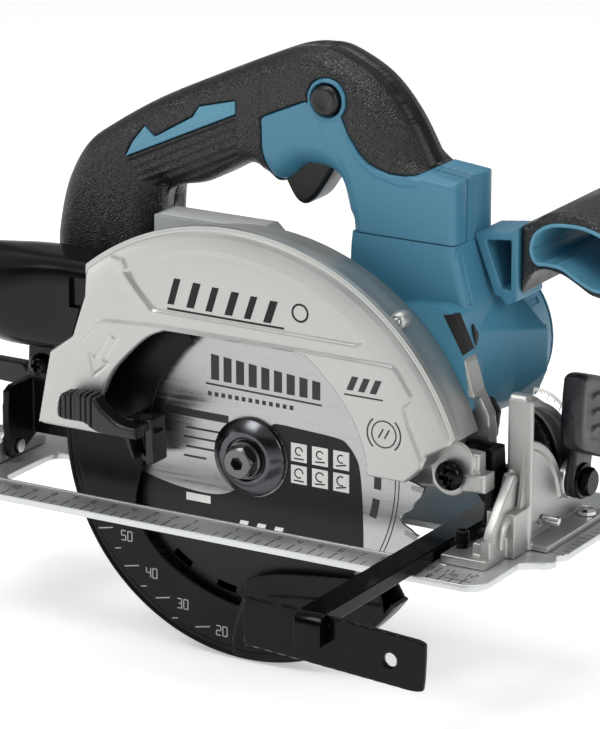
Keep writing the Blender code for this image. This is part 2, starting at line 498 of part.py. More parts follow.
# ================================================================ battery housing
bay = box("battery_housing", -108, 8.6, 29, 60, 56, 87.7, "black_plastic", bevel=3)
join(bay, box("rail_low", -98, -8, 58, 63.5, 58, 61), box("rail_high", -98, -8, 58, 63.5, 81, 84))
cut(bay, box("board_room", -92, -4, 34, 55, 61, 83), rod("wire_way", 'x', (45, 74), 5, -10, 12, seg=20))
board = box("control_board", -86, -14, 37, 52, 66, 73, "board")
terminal = box("terminal_block", -72, -36, 60.4, 65.5, 64, 78, "black_plastic")
cut(terminal, *[box(f"terminal_slot_{k}", -60, -30, 61.6, 67, 66.2 + 4 * k, 67.6 + 4 * k) for k in range(3)])

# ================================================================ handle
arch = smooth([(-60, 88.3, 1), (-112, 88.3, 1), (-112.5, 103), (-107.5, 125), (-98, 142), (-86, 151.5), (-62, 165.8), (-33, 179.5),
               (-15, 187.5), (1, 194), (12, 196), (23, 195), (41, 186), (55, 171), (66, 152, 1), (84, 149, 1), (84, 123.2, 1), (34, 123.2, 1),
               (31.5, 131), (26, 144.5), (12, 147), (4, 141), (-2, 137.6), (-8, 141), (-17, 143.5), (-38, 132.7), (-52, 129), (-60, 122)], 3)
def handle_half(name, y0, y1, finish):
    h = prism(name, 'y', arch, HANDLE_Y0, HANDLE_Y1, finish, round_=9.0, res=2)
    boolean(h, 'INTERSECT', box(name + "_keep", -150, 120, y0, y1, 60, 220))
    return h


h_near = handle_half("handle_near", HANDLE_Y0 - 5, HANDLE_YM - 0.15, "teal")
h_far = handle_half("handle_far", HANDLE_YM + 0.15, HANDLE_Y1 + 5, "rubber")
room = box("switch_room", -24, 31.5, 27.2, 46.8, 132, 171)
lock_bore = rod("lock_bore", 'y', LOCKOFF, 6.9, 15, 60, seg=32)
for h in (h_near, h_far):
    cut(h, room, lock_bore)
trig = prism("trigger", 'y', smooth([(-1.5, 141.5), (1, 135), (4.5, 130.3), (8.5, 129), (13, 132), (18, 139), (23, 147), (28.5, 152), (28, 156.5),
                                     (16, 156.5, 1), (2, 150, 1)], 3), 28.4, 45.6, "black_plastic", round_=1.6)
switch = box("switch_body", -20, 14, 28.5, 45.5, 159.5, 168.2, "black_plastic")
cut(switch, box("switch_notch", 6, 20, 33, 41, 157, 164))
lock = turned("lock_off_button", 'y', LOCKOFF, [(0, 17.0), (5.2, 17.3), (6.5, 18.6), (6.5, 55.4), (5.2, 56.7), (0, 57.0)], "black_plastic", 32)

# grey top cover over the depth guide
topc = prism("top_cover", 'y', [(-54, 96), (-24, 96.5), (4, 97), (6, 108), (2, 116), (-3, 120.6), (-54, 120.6)], 10.4, 27, "grey_plastic")
cut(topc, box("guide_way", -57, -26, 13.9, 17.8, 88, 118.6),
    rod("case_clear", 'y', CASE_C, 107.4, 8, 10.5, seg=84))

# ================================================================ front grip
sleeve_out = smooth([(104.3, 130.5, 1), (109.7, 133), (114.5, 136.3), (122, 138.3), (131, 138.2), (140.4, 135.2), (149, 130), (155, 124),
                     (157.5, 117), (156, 110), (150.5, 105.6), (143, 104.6), (136.4, 105.2), (130, 108.6), (123, 112), (114.7, 113.2),
                     (109, 110), (104.3, 101.5, 1)], 2)
hole_in = smooth([(110.3, 121.5), (112, 127.6), (118, 131.8), (126.5, 133), (134, 132.6), (142, 130), (148, 125.6), (151.5, 119.5), (151.8, 114),
                  (148.5, 110), (142, 109), (137, 109.6), (130.5, 112.6), (124, 116.2), (117, 117), (112.3, 117)], 2)
sleeve = prism("front_grip_sleeve", 'y', sleeve_out, 38, 128, "rubber", holes=[inset(hole_in, -1.6)])
core = prism("front_grip_core", 'y', inset(hole_in, -1.3), 37.4, 127.4, "teal", holes=[hole_in])
pocket = prism("grip_bracket", 'y', [(84.3, 125.4), (101.5, 127.6), (104, 130.2), (104, 99), (96.5, 89.5), (93.2, 99.5), (90.5, 101.5), (84.3, 123)], 58.4, 60, "teal")
shell = prism("bracket_body", 'y', [(84.3, 125.4), (101.5, 127.6), (104, 130.2), (104, 99), (98.5, 96.2), (95.8, 99.6), (84.3, 124)], 37, 60)
bpy.data.objects.remove(pocket, do_unlink=True)
pocket = prism("grip_bracket", 'y', [(84.3, 125.4), (101.5, 127.6), (104, 130.2), (104, 99), (99, 96.4), (96.4, 99.8), (93.6, 100.4), (84.3, 123.8)],
               37, 60, "teal")
bpy.data.objects.remove(shell, do_unlink=True)
cut(pocket, prism("pocket_room", 'y', [(89, 123), (100.5, 124.4), (101, 124), (101, 103), (96.8, 103.5)], 35, 56))

# depth clamp
dbolt = turned("depth_bolt", 'y', DBOLT, [(0, 10.8), (4, 11.0), (5.8, 12.2), (6, 13.9), (3.0, 13.9), (3.0, 31.5), (0, 31.5)], "bright", 24)
lev = prism("depth_lever", 'y', arc(DBOLT, 8, -110, 60, 10) + [(-80, 33.5), (-118, 37), (-127, 38.5), (-129, 41), (-145, 41), (-147, 38), (-147, 33), (-144, 31),
                                                        (-128, 30.5), (-118, 29), (-80, 23)], 21.2, 27.4, "black_plastic", round_=1.2)
cut(lev, rod("depth_lever_bore", 'y', DBOLT, 3.3, 19, 30, seg=20))
dnut = prism("depth_nut", 'y', hexagon(DBOLT, 11, 10), 27.8, 31.2, "bright", holes=[arc(DBOLT, 3.3, 0, 340, 16)])

# ================================================================ lower guard
near_pl = (arc(ARBOR, GUARD_R - 0.6, -40, -180, 30)
           + [(-87, 30), (-50, 35), (-51, 15), (-54.5, -3), (-50, -14.6), (-39, -25.7), (-22, -34.5), (-6, -39), (-2.6, -37.5), (-1.6, -30),
              (3, -25.5), (17, -21.5), (45, -18.2), (60, -17), (73.5, -16.4), (74, -24)])
guard = prism("lower_guard", 'y', near_pl, -6.3, -4.9, "oxide")
g_rim = prism("guard_rim", 'y', ring_sector(ARBOR, GUARD_R - 1.7, GUARD_R, -36, -181, 32), -6.4, 6.4)
back_pl = (arc(ARBOR, GUARD_R - 0.6, -36.5, -180.5, 30) + [(-60, 40), (-30, 44)] + arc(ARBOR, 27, 125, 20, 10) + [(44, 6), (60, -8)])
g_back = prism("guard_back", 'y', back_pl, 4.9, 6.3)
join(guard, g_rim, g_back)
cut(guard, rod("guard_hole", 'y', ARBOR, 20.1, 3, 8, seg=40))
grip = smooth([(-77, 40), (-76, 48), (-72, 50.5), (-60, 50.8), (-55, 46), (-47, 41), (-38.5, 40, 1), (-38, 35, 1),
               (-57, 35.3), (-64, 38.4), (-73, 38.4)], 3)
g_lever = prism("guard_lever", 'y', grip, -31, -22.6, "black_plastic", round_=1.5)
g_root = prism("guard_lever_root", 'y', [(-51.8, 39), (-38.5, 40), (-37.5, 21), (-47, 19), (-51.8, 30)], -17.4, -6.7)
g_arm = prism("guard_lever_arm", 'y', [(-50.8, 38.4), (-39.5, 39.2), (-39.5, 35.6), (-50.8, 35.6)], -23.6, -16.5)
join(g_lever, g_root, g_arm)
cut(g_lever, box("lever_loop", -47.5, -41.5, -20, -11, 15, 45))

shaft_lock = turned("shaft_lock_button", 'y', (-8, 46.0), [(0, 30.4), (4.4, 30.2), (5, 29.4), (5, 25.2), (2.6, 25.2), (2.6, 19.4), (0, 19.4)], "black_plastic", 24)
handle_screw = turned("handle_screw", 'y', (62, 134), [(0, 56.6), (3.2, 56.3), (3.6, 54.4), (0, 54.3)], "bright", 20)

# ---------------------------------------------------------------- joints
ob = bpy.data.objects
hang("axis_bevel", P(0, *BEV), [tilt, guide, clamp_bolt, washer, pivot_pin])
hang("axis_depth", P(PIVOT_X, 0, PIVOT_Z), [case, case_screw, nozzle_screw, noz, gear_case, gear_cover, retainer, housing, end_cap, bay, board,
     terminal, handle_screw, h_near, h_far, switch, topc, sleeve, core, pocket, dbolt, dnut, stator, brg_f, brg_r, sp_bearing])
hang("axis_spindle", P(0, 0, ARBOR_Z), [blade, inner_flange, outer_flange, bolt, spindle, sp_gear])
hang("axis_guard", P(0, 0, ARBOR_Z), [guard, g_lever])
hang("axis_rotor", P(MOTOR[0], 0, MOTOR[1]), [rotor, pinion, fan])
hang("axis_idler", P(IDLER[0], 0, IDLER[1]), [idler])
hang("axis_trigger", P(TRIGGER_AXIS[0], HANDLE_YM, TRIGGER_AXIS[1]), [trig])
hang("axis_lock_off", P(LOCKOFF[0], HANDLE_YM, LOCKOFF[1]), [lock])
hang("axis_depth_lever", P(DBOLT[0], 24, DBOLT[1]), [lev])
hang("axis_clamp_lever", P(128, *CLAMP), [lever])
hang("axis_fence", P(93, 0, 6.5), [bar, plate])
hang("axis_fence_screw", P(104, -8, 8), [fence_screw])
hang("axis_shaft_lock", P(-8, 26, 46), [shaft_lock])
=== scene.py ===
import math
import random
import bpy
import bmesh
from mathutils import Vector, Matrix


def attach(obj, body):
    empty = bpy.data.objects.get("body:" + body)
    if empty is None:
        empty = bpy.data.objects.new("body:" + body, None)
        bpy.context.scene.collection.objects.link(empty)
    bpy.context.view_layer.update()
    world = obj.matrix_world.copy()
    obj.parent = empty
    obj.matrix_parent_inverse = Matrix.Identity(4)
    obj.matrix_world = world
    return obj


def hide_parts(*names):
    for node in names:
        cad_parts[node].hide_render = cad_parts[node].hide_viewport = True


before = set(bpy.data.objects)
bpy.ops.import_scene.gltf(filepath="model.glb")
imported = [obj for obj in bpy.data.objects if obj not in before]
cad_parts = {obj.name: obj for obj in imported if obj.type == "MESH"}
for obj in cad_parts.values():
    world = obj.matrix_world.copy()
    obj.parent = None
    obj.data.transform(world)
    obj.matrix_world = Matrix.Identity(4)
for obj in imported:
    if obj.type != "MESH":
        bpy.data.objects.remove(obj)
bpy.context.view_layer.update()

MM = 0.001
random.seed(7)


def P(x, y, z):
    """Millimetres from the blade's axis (x), the blade's plane (y) and the sole (z), to the frame."""
    return Vector(((x + 5) * MM, (y - 26.8) * MM, z * MM))


# ------------------------------------------------------------------ materials
MATS = {}


def lin(c):
    return tuple((v / 12.92 if v <= 0.04045 else ((v + 0.055) / 1.055) ** 2.4) for v in c)


def srgb(r, g, b):
    return lin((r / 255, g / 255, b / 255)) + (1.0,)


def mat(name, color, rough=0.5, metal=0.0, grain=None, bump=None, streak=None, vary=0.08, coat=0.0, spec=0.5, edge=0.0, rough_var=0.08, aniso=None):
    """A procedural surface: colour mottling, roughness variation, optional streaks and grain."""
    m = bpy.data.materials.new(name)
    m.use_nodes = True
    nt = m.node_tree
    b = nt.nodes["Principled BSDF"]
    b.inputs["Base Color"].default_value = color
    b.inputs["Roughness"].default_value = rough
    b.inputs["Metallic"].default_value = metal
    b.inputs["Coat Weight"].default_value = coat
    b.inputs["Coat Roughness"].default_value = 0.12
    b.inputs["Specular IOR Level"].default_value = spec
    tc = nt.nodes.new("ShaderNodeTexCoord")
    co = tc.outputs["Object"]
    # broad mottling
    n1 = nt.nodes.new("ShaderNodeTexNoise")
    n1.inputs["Scale"].default_value = 45.0
    n1.inputs["Detail"].default_value = 6.0
    nt.links.new(co, n1.inputs["Vector"])
    src = n1.outputs["Fac"]
    if streak:
        mp = nt.nodes.new("ShaderNodeMapping")
        mp.inputs["Scale"].default_value = streak
        nt.links.new(co, mp.inputs["Vector"])
        n2 = nt.nodes.new("ShaderNodeTexNoise")
        n2.inputs["Scale"].default_value = 1.0
        n2.inputs["Detail"].default_value = 4.0
        nt.links.new(mp.outputs["Vector"], n2.inputs["Vector"])
        mx = nt.nodes.new("ShaderNodeMix")
        mx.data_type = 'FLOAT'
        mx.inputs[0].default_value = 0.7
        nt.links.new(n1.outputs["Fac"], mx.inputs[2])
        nt.links.new(n2.outputs["Fac"], mx.inputs[3])
        src = mx.outputs[0]
    if vary:
        mr = nt.nodes.new("ShaderNodeMapRange")
        mr.inputs["From Min"].default_value = 0.3
        mr.inputs["From Max"].default_value = 0.7
        mr.inputs["To Min"].default_value = 1 - vary
        mr.inputs["To Max"].default_value = 1 + vary
        nt.links.new(src, mr.inputs["Value"])
        cm = nt.nodes.new("ShaderNodeMix")
        cm.data_type = 'RGBA'
        cm.blend_type = 'MULTIPLY'
        cm.inputs[0].default_value = 1.0
        cm.inputs[6].default_value = color
        nt.links.new(mr.outputs["Result"], cm.inputs[7])
        nt.links.new(cm.outputs[2], b.inputs["Base Color"])
    rr = nt.nodes.new("ShaderNodeMapRange")
    rr.inputs["From Min"].default_value = 0.3
    rr.inputs["From Max"].default_value = 0.7
    rr.inputs["To Min"].default_value = max(0.03, rough - rough_var)
    rr.inputs["To Max"].default_value = min(1.0, rough + rough_var)
    nt.links.new(src, rr.inputs["Value"])
    nt.links.new(rr.outputs["Result"], b.inputs["Roughness"])
    # fine relief
    kind, scale, depth = bump if bump else ("noise", 1500.0, 0.00001)
    if kind == "voronoi":
        t = nt.nodes.new("ShaderNodeTexVoronoi")
        t.feature = 'DISTANCE_TO_EDGE'
        t.inputs["Scale"].default_value = scale
        out = t.outputs["Distance"]
    else:
        t = nt.nodes.new("ShaderNodeTexNoise")
        t.inputs["Scale"].default_value = scale
        t.inputs["Detail"].default_value = 3.0
        out = t.outputs["Fac"]
    if kind == "brush":
        mp2 = nt.nodes.new("ShaderNodeMapping")
        mp2.inputs["Scale"].default_value = streak or (1, 1, 1)
        nt.links.new(co, mp2.inputs["Vector"])
        nt.links.new(mp2.outputs["Vector"], t.inputs["Vector"])
        t.inputs["Scale"].default_value = 1.0
    else:
        nt.links.new(co, t.inputs["Vector"])
    bp = nt.nodes.new("ShaderNodeBump")
    bp.inputs["Strength"].default_value = 1.0
    bp.inputs["Distance"].default_value = depth
    nt.links.new(out, bp.inputs["Height"])
    nt.links.new(bp.outputs["Normal"], b.inputs["Normal"])
    if aniso is not None:
        b.inputs["Anisotropic"].default_value = aniso
    MATS[name] = m
    return m


TEAL = mat("teal_plastic", srgb(66, 124, 150), rough=0.42, bump=("noise", 2600, 0.000012), vary=0.04)
TEAL_L = mat("teal_plastic_trim", srgb(84, 141, 164), rough=0.38, bump=("noise", 2600, 0.00001), vary=0.04)
RUBBER = mat("rubber_grain", srgb(22, 22, 24), rough=0.37, bump=("voronoi", 780, 0.0005), vary=0.14, spec=0.5)
RUBBER_S = mat("rubber_smooth", srgb(20, 20, 22), rough=0.34, bump=("noise", 2200, 0.00002), vary=0.08, spec=0.4)
BLACK_P = mat("black_plastic", srgb(22, 22, 23), rough=0.36, bump=("noise", 2400, 0.000016), vary=0.1, spec=0.45)
BLACK_V = mat("black_plastic_lever", srgb(22, 19, 27), rough=0.32, bump=("noise", 1800, 0.00002), vary=0.1, spec=0.5)
GLOSS = mat("gloss_black", srgb(3, 3, 4), rough=0.16, bump=("noise", 900, 0.000012), vary=0.15, coat=0.0, spec=0.16, rough_var=0.05)
GLOSS_P = mat("gloss_plastic", srgb(5, 5, 6), rough=0.2, bump=("noise", 1200, 0.00001), vary=0.15, coat=0.0, spec=0.26, rough_var=0.05)
BOLT_M = mat("bolt_steel", srgb(104, 104, 104), rough=0.24, metal=1.0, bump=("noise", 1400, 0.00002), vary=0.15)
OXIDE = mat("black_oxide", srgb(27, 27, 27), rough=0.32, metal=0.8, bump=("noise", 1700, 0.00002), vary=0.16, rough_var=0.08)
OXIDE_F = mat("flange_oxide", srgb(84, 85, 88), rough=0.2, metal=1.0, bump=("noise", 1600, 0.000012), vary=0.12)
CAST = mat("satin_casting", srgb(184, 185, 182), rough=0.43, metal=0.88, bump=("noise", 1900, 0.000028), vary=0.035, rough_var=0.05)
CAST_D = mat("satin_casting_dark", srgb(160, 162, 162), rough=0.5, metal=0.6, bump=("noise", 1500, 0.00005), vary=0.06)
GREY_P = mat("grey_plastic", srgb(158, 161, 163), rough=0.5, bump=("noise", 2400, 0.00002), vary=0.04)
GREY_T = mat("grey_plate_top", srgb(205, 207, 207), rough=0.45, bump=("noise", 2400, 0.00001), vary=0.03)
ZINC = mat("bright_zinc", srgb(206, 208, 208), rough=0.36, metal=0.72, streak=(14, 60, 14), bump=("noise", 700, 0.000004), vary=0.06, rough_var=0.06)
ZINC_E = mat("zinc_edge", srgb(212, 213, 210), rough=0.34, metal=0.85, streak=(900, 18, 300), bump=("brush", 1, 0.000012), vary=0.06)
BRIGHT = mat("bright_steel", srgb(205, 206, 206), rough=0.22, metal=1.0, bump=("noise", 1400, 0.00001), vary=0.05)
STEEL = mat("machined_steel", srgb(160, 162, 164), rough=0.33, metal=1.0, bump=("noise", 900, 0.00001), vary=0.08)
BLADE = mat("brushed_blade", srgb(168, 169, 169), rough=0.3, metal=1.0, streak=(30, 10, 700), bump=("brush", 1, 0.000012), vary=0.1, rough_var=0.1, aniso=0.5)
CARBIDE = mat("carbide_tip", srgb(142, 143, 140), rough=0.34, metal=0.9, bump=("noise", 3000, 0.00003), vary=0.12)
INK = mat("printed_ink", srgb(9, 9, 10), rough=0.38, bump=("noise", 1500, 0.00001), vary=0.2, spec=0.3)
INK_W = mat("printed_light", srgb(222, 222, 219), rough=0.5, bump=("noise", 1500, 0.00001), vary=0.06)
INK_S = mat("scale_ink", srgb(34, 34, 36), rough=0.5, bump=("noise", 1500, 0.00001), vary=0.1)
BOARD = mat("potted_board", srgb(28, 92, 52), rough=0.35, bump=("noise", 600, 0.0001), vary=0.15)
COPPER = mat("copper_windings", srgb(184, 110, 62), rough=0.35, metal=0.9, streak=(300, 1200, 300), bump=("brush", 1, 0.0002), vary=0.2)
HOLE = mat("deep_shadow", srgb(14, 14, 15), rough=0.85, bump=("noise", 1200, 0.00002), vary=0.1, spec=0.2)

CAD_FINISH = {}


def finish_cad(names, material):
    for n in names.split():
        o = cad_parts[n]
        o.data.materials.clear()
        o.data.materials.append(material)
        CAD_FINISH[n] = material


finish_cad("base_plate", ZINC)
finish_cad("bevel_bracket rear_bracket blade_case gear_case", CAST)
finish_cad("bevel_stop_pin front_hinge_pin bracket_rivet rear_hinge_pin rear_rivet fence_clamp_screw case_screw handle_screw", BRIGHT)
finish_cad("fence_bar fence_plate bevel_clamp_bolt depth_pivot_pin nozzle_screw", GLOSS)
finish_cad("tilt_front tilt_rear_guide depth_bolt depth_nut lower_guard", OXIDE)
finish_cad("inner_flange outer_flange blade_bolt", OXIDE_F)
finish_cad("bevel_clamp_washer hub_retainer", ZINC_E)
finish_cad("bevel_clamp_lever", BLACK_V)
finish_cad("guard_lever gear_cover grip_bracket switch_body terminal_block trigger lock_off_button depth_lever shaft_lock_button motor_fan", BLACK_P)
finish_cad("dust_nozzle", GLOSS_P)
finish_cad("motor_housing motor_end_cap battery_housing front_grip_core", TEAL)
finish_cad("handle_near handle_far front_grip_sleeve", RUBBER)
finish_cad("top_cover", GREY_P)
finish_cad("control_board", BOARD)
finish_cad("motor_stator", COPPER)
finish_cad("motor_bearing_front motor_bearing_rear spindle_bearing spindle spindle_gear motor_rotor motor_pinion idler_gear", STEEL)
finish_cad("saw_blade", BLADE)

import numpy as np

# ------------------------------------------------------------------ shape tools
ARBOR = (0.0, 26.0)
PIV = (99.0, 37.0)
BEV = (3.0, 10.0)
LOCK = (23.8, 177.0)
CLAMP = (48.06, 23.35)


def arc(c, r, d0, d1, n):
    return [(c[0] + r * math.cos(math.radians(d0 + (d1 - d0) * i / n)),
             c[1] + r * math.sin(math.radians(d0 + (d1 - d0) * i / n))) for i in range(n + 1)]


def smooth(pts, n=6):
    out = []
    m = len(pts)
    for i in range(m):
        p0, p1, p2, p3 = pts[i - 1], pts[i], pts[(i + 1) % m], pts[(i + 2) % m]
        if len(p1) > 2:
            p0 = p1
        if len(p2) > 2:
            p3 = p2
        straight = len(p1) > 2 and len(p2) > 2
        for k in range(1 if straight else n):
            t = k / n
            out.append(tuple(0.5 * (2 * p1[a] + (p2[a] - p0[a]) * t
                       + (2 * p0[a] - 5 * p1[a] + 4 * p2[a] - p3[a]) * t * t
                       + (3 * p1[a] - p0[a] - 3 * p2[a] + p3[a]) * t ** 3) for a in (0, 1)))
    return out


def poly_sdf(pts):
    a = np.array([p[:2] for p in pts], float)
    b = np.roll(a, -1, 0)
    e = b - a
    ee = (e * e).sum(1) + 1e-12
    ez = np.where(np.abs(e[:, 1]) < 1e-9, 1e-9, e[:, 1])

    def f(x, z):
        out = np.empty(len(x))
        for s in range(0, len(x), 20000):
            xx, zz = x[s:s + 20000, None], z[s:s + 20000, None]
            px, pz = xx - a[:, 0], zz - a[:, 1]
            t = np.clip((px * e[:, 0] + pz * e[:, 1]) / ee, 0, 1)
            d = np.sqrt(((px - t * e[:, 0]) ** 2 + (pz - t * e[:, 1]) ** 2).min(1))
            c = (a[:, 1] > zz) != (b[:, 1] > zz)
            xi = a[:, 0] + (zz - a[:, 1]) * e[:, 0] / ez
            out[s:s + 20000] = np.where((c & (xx < xi)).sum(1) % 2 == 1, -d, d)
        return out
    return f


def line_dist(pts):
    a = np.array(pts[:-1], float)
    e = np.array(pts[1:], float) - a
    ee = (e * e).sum(1) + 1e-12

    def f(x, z):
        px, pz = x[:, None] - a[:, 0], z[:, None] - a[:, 1]
        t = np.clip((px * e[:, 0] + pz * e[:, 1]) / ee, 0, 1)
        return np.sqrt(((px - t * e[:, 0]) ** 2 + (pz - t * e[:, 1]) ** 2).min(1))
    return f


def circ(cx, cz, r):
    return lambda x, z: np.hypot(x - cx, z - cz) - r


def fade(d, w):
    """1 inside, 0 outside, over a width w."""
    t = np.clip(0.5 - d / w, 0, 1)
    return t * t * (3 - 2 * t)


def rnd(d, r):
    r = np.broadcast_to(np.asarray(r, float), d.shape)
    k = np.clip(-d, 0, None)
    return np.where(k < r, r - np.sqrt(np.clip(r * r - (r - k) ** 2, 0, None)), 0.0)


def field(name, sdf, w0, w1, bounds, cell, axis='y'):
    """A plate over the region sdf < 0 whose two faces are the height maps w0 and w1."""
    u0, u1, v0, v1 = bounds
    us = np.arange(u0 - cell, u1 + 2 * cell, cell)
    vs = np.arange(v0 - cell, v1 + 2 * cell, cell)
    U, V = np.meshgrid(us, vs, indexing='ij')
    shape = U.shape
    u, v = U.ravel().copy(), V.ravel().copy()
    d = sdf(u, v)
    ins = (d < 0).reshape(shape)
    act = ins[:-1, :-1] | ins[1:, :-1] | ins[:-1, 1:] | ins[1:, 1:]
    used = np.zeros(shape, bool)
    used[:-1, :-1] |= act
    used[1:, :-1] |= act
    used[:-1, 1:] |= act
    used[1:, 1:] |= act
    usedf = used.ravel()
    snap = usedf & (d > -0.35 * cell)
    h = 0.03
    for _ in range(3):
        i = np.where(snap)[0]
        if not len(i):
            break
        x, z = u[i], v[i]
        dd = sdf(x, z)
        gx = (sdf(x + h, z) - sdf(x - h, z)) / (2 * h)
        gz = (sdf(x, z + h) - sdf(x, z - h)) / (2 * h)
        g = np.maximum(gx * gx + gz * gz, 0.25)
        u[i] -= dd * gx / g
        v[i] -= dd * gz / g
    idx = -np.ones(len(u), int)
    ui = np.where(usedf)[0]
    idx[ui] = np.arange(len(ui))
    uu, vv = u[ui], v[ui]
    dd = sdf(uu, vv)
    a = w0(uu, vv, dd) if callable(w0) else np.full(len(uu), float(w0))
    b = w1(uu, vv, dd) if callable(w1) else np.full(len(uu), float(w1))
    n = len(ui)
    I = idx.reshape(shape)
    ii, jj = np.where(act)
    q = np.stack([I[ii, jj], I[ii + 1, jj], I[ii + 1, jj + 1], I[ii, jj + 1]], 1)
    lowccw = axis == 'y'
    low = q if lowccw else q[:, ::-1]
    high = (q[:, ::-1] if lowccw else q) + n
    edges = {}
    for f in low:
        for k in range(4):
            e = (int(f[k]), int(f[(k + 1) % 4]))
            if (e[1], e[0]) in edges:
                del edges[(e[1], e[0])]
            else:
                edges[e] = 1
    walls = [(e[1], e[0], e[0] + n, e[1] + n) for e in edges]
    if axis == 'y':
        co = np.concatenate([np.stack([uu, a, vv], 1), np.stack([uu, b, vv], 1)])
    elif axis == 'x':
        co = np.concatenate([np.stack([a, uu, vv], 1), np.stack([b, uu, vv], 1)])
    else:
        co = np.concatenate([np.stack([uu, vv, a], 1), np.stack([uu, vv, b], 1)])
    co = (co + np.array([5.0, -26.8, 0.0])) * MM
    me = bpy.data.meshes.new(name)
    me.from_pydata(co.tolist(), [], low.tolist() + high.tolist() + walls)
    me.validate()
    ob = bpy.data.objects.new(name, me)
    bpy.context.scene.collection.objects.link(ob)
    return ob


def mesh_ob(name, verts, faces):
    me = bpy.data.meshes.new(name)
    me.from_pydata([P(*p) for p in verts], [], faces)
    ob = bpy.data.objects.new(name, me)
    bpy.context.scene.collection.objects.link(ob)
    return ob


def bake(ob):
    dg = bpy.context.evaluated_depsgraph_get()
    dg.update()
    me = bpy.data.meshes.new_from_object(ob.evaluated_get(dg))
    ob.modifiers.clear()
    ob.data = me
    return ob


def prism(name, axis, outline, a, b, round_=0.0, holes=(), res=3):
    cx = sum(p[0] for p in outline) / len(outline)
    cy = sum(p[1] for p in outline) / len(outline)
    cu = bpy.data.curves.new(name, 'CURVE')
    cu.dimensions = '2D'
    cu.fill_mode = 'BOTH'
    for loop in [outline] + list(holes):
        s = cu.splines.new('POLY')
        s.points.add(len(loop) - 1)
        for p, q in zip(s.points, loop):
            p.co = ((q[0] - cx) * MM, (q[1] - cy) * MM, 0, 1)
        s.use_cyclic_u = True
    cu.extrude = (abs(b - a) / 2 - round_) * MM
    if round_:
        cu.bevel_depth = round_ * MM
        cu.bevel_resolution = res
        cu.offset = -round_ * MM
    tmp = bpy.data.objects.new(name, cu)
    bpy.context.scene.collection.objects.link(tmp)
    dg = bpy.context.evaluated_depsgraph_get()
    dg.update()
    me = bpy.data.meshes.new_from_object(tmp.evaluated_get(dg))
    bpy.data.objects.remove(tmp, do_unlink=True)
    m = (a + b) / 2
    if axis == 'y':
        M = Matrix.Translation(P(cx, m, cy)) @ Matrix.Rotation(math.pi / 2, 4, 'X')
    elif axis == 'x':
        M = Matrix.Translation(P(m, cx, cy)) @ Matrix(((0, 0, 1, 0), (1, 0, 0, 0), (0, 1, 0, 0), (0, 0, 0, 1)))
    else:
        M = Matrix.Translation(P(cx, cy, m))
    bm = bmesh.new()
    bm.from_mesh(me)
    bmesh.ops.remove_doubles(bm, verts=bm.verts, dist=1e-6)
    bmesh.ops.transform(bm, matrix=M, verts=bm.verts)
    bmesh.ops.recalc_face_normals(bm, faces=bm.faces)
    bm.to_mesh(me)
    bm.free()
    ob = bpy.data.objects.new(name, me)
    bpy.context.scene.collection.objects.link(ob)
    return ob


def box(name, x0, x1, y0, y1, z0, z1, bev=0.0):
    vs = [(x, y, z) for x in (x0, x1) for y in (y0, y1) for z in (z0, z1)]
    fs = [(0, 1, 3, 2), (4, 6, 7, 5), (0, 4, 5, 1), (2, 3, 7, 6), (0, 2, 6, 4), (1, 5, 7, 3)]
    ob = mesh_ob(name, vs, fs)
    if bev:
        m = ob.modifiers.new("b", 'BEVEL')
        m.width = bev * MM
        m.segments = 3
        bake(ob)
    return ob


def turned(name, axis, c, profile, seg=96, d0=0.0, d1=360.0):
    """A turned piece, or a sector of one; profile is (radius, along)."""
    full = abs(d1 - d0) > 359.9
    n = len(profile)
    closed = profile[0][0] > 1e-6 or profile[-1][0] > 1e-6
    vs, fs = [], []
    k = seg if full else seg + 1
    for i in range(k):
        t = math.radians(d0 + (d1 - d0) * i / seg)
        ct, st = math.cos(t), math.sin(t)
        for r_, s in profile:
            p, q = r_ * ct, r_ * st
            vs.append({'y': (c[0] + p, s, c[1] + q), 'x': (s, c[0] + p, c[1] + q), 'z': (c[0] + p, c[1] + q, s)}[axis])
    for i in range(seg):
        j = (i + 1) % k
        for m in range(n if closed else n - 1):
            m2 = (m + 1) % n
            fs.append((i * n + m, j * n + m, j * n + m2, i * n + m2))
    if not full:
        fs.append(tuple(range(n)))
        fs.append(tuple((k - 1) * n + m for m in reversed(range(n))))
    ob = mesh_ob(name, vs, fs)
    bm = bmesh.new()
    bm.from_mesh(ob.data)
    bmesh.ops.remove_doubles(bm, verts=bm.verts, dist=1e-7)
    bmesh.ops.dissolve_degenerate(bm, edges=bm.edges, dist=1e-8)
    bmesh.ops.recalc_face_normals(bm, faces=bm.faces)
    bm.to_mesh(ob.data)
    bm.free()
    return ob


def drop(*obs):
    for o in obs:
        bpy.data.objects.remove(o, do_unlink=True)


def boolean(ob, op, *others, solver='EXACT'):
    for k in others:
        m = ob.modifiers.new("x", 'BOOLEAN')
        m.operation = op
        m.object = k
        m.solver = solver
    bake(ob)
    drop(*others)
    return ob


def cut(ob, *others, solver='EXACT'):
    return boolean(ob, 'DIFFERENCE', *others, solver=solver)


def union(ob, *others, solver='EXACT'):
    return boolean(ob, 'UNION', *others, solver=solver)


def merge(ob, *others):
    bm = bmesh.new()
    for o in (ob,) + others:
        bm.from_mesh(o.data)
    bm.to_mesh(ob.data)
    bm.free()
    drop(*others)
    return ob


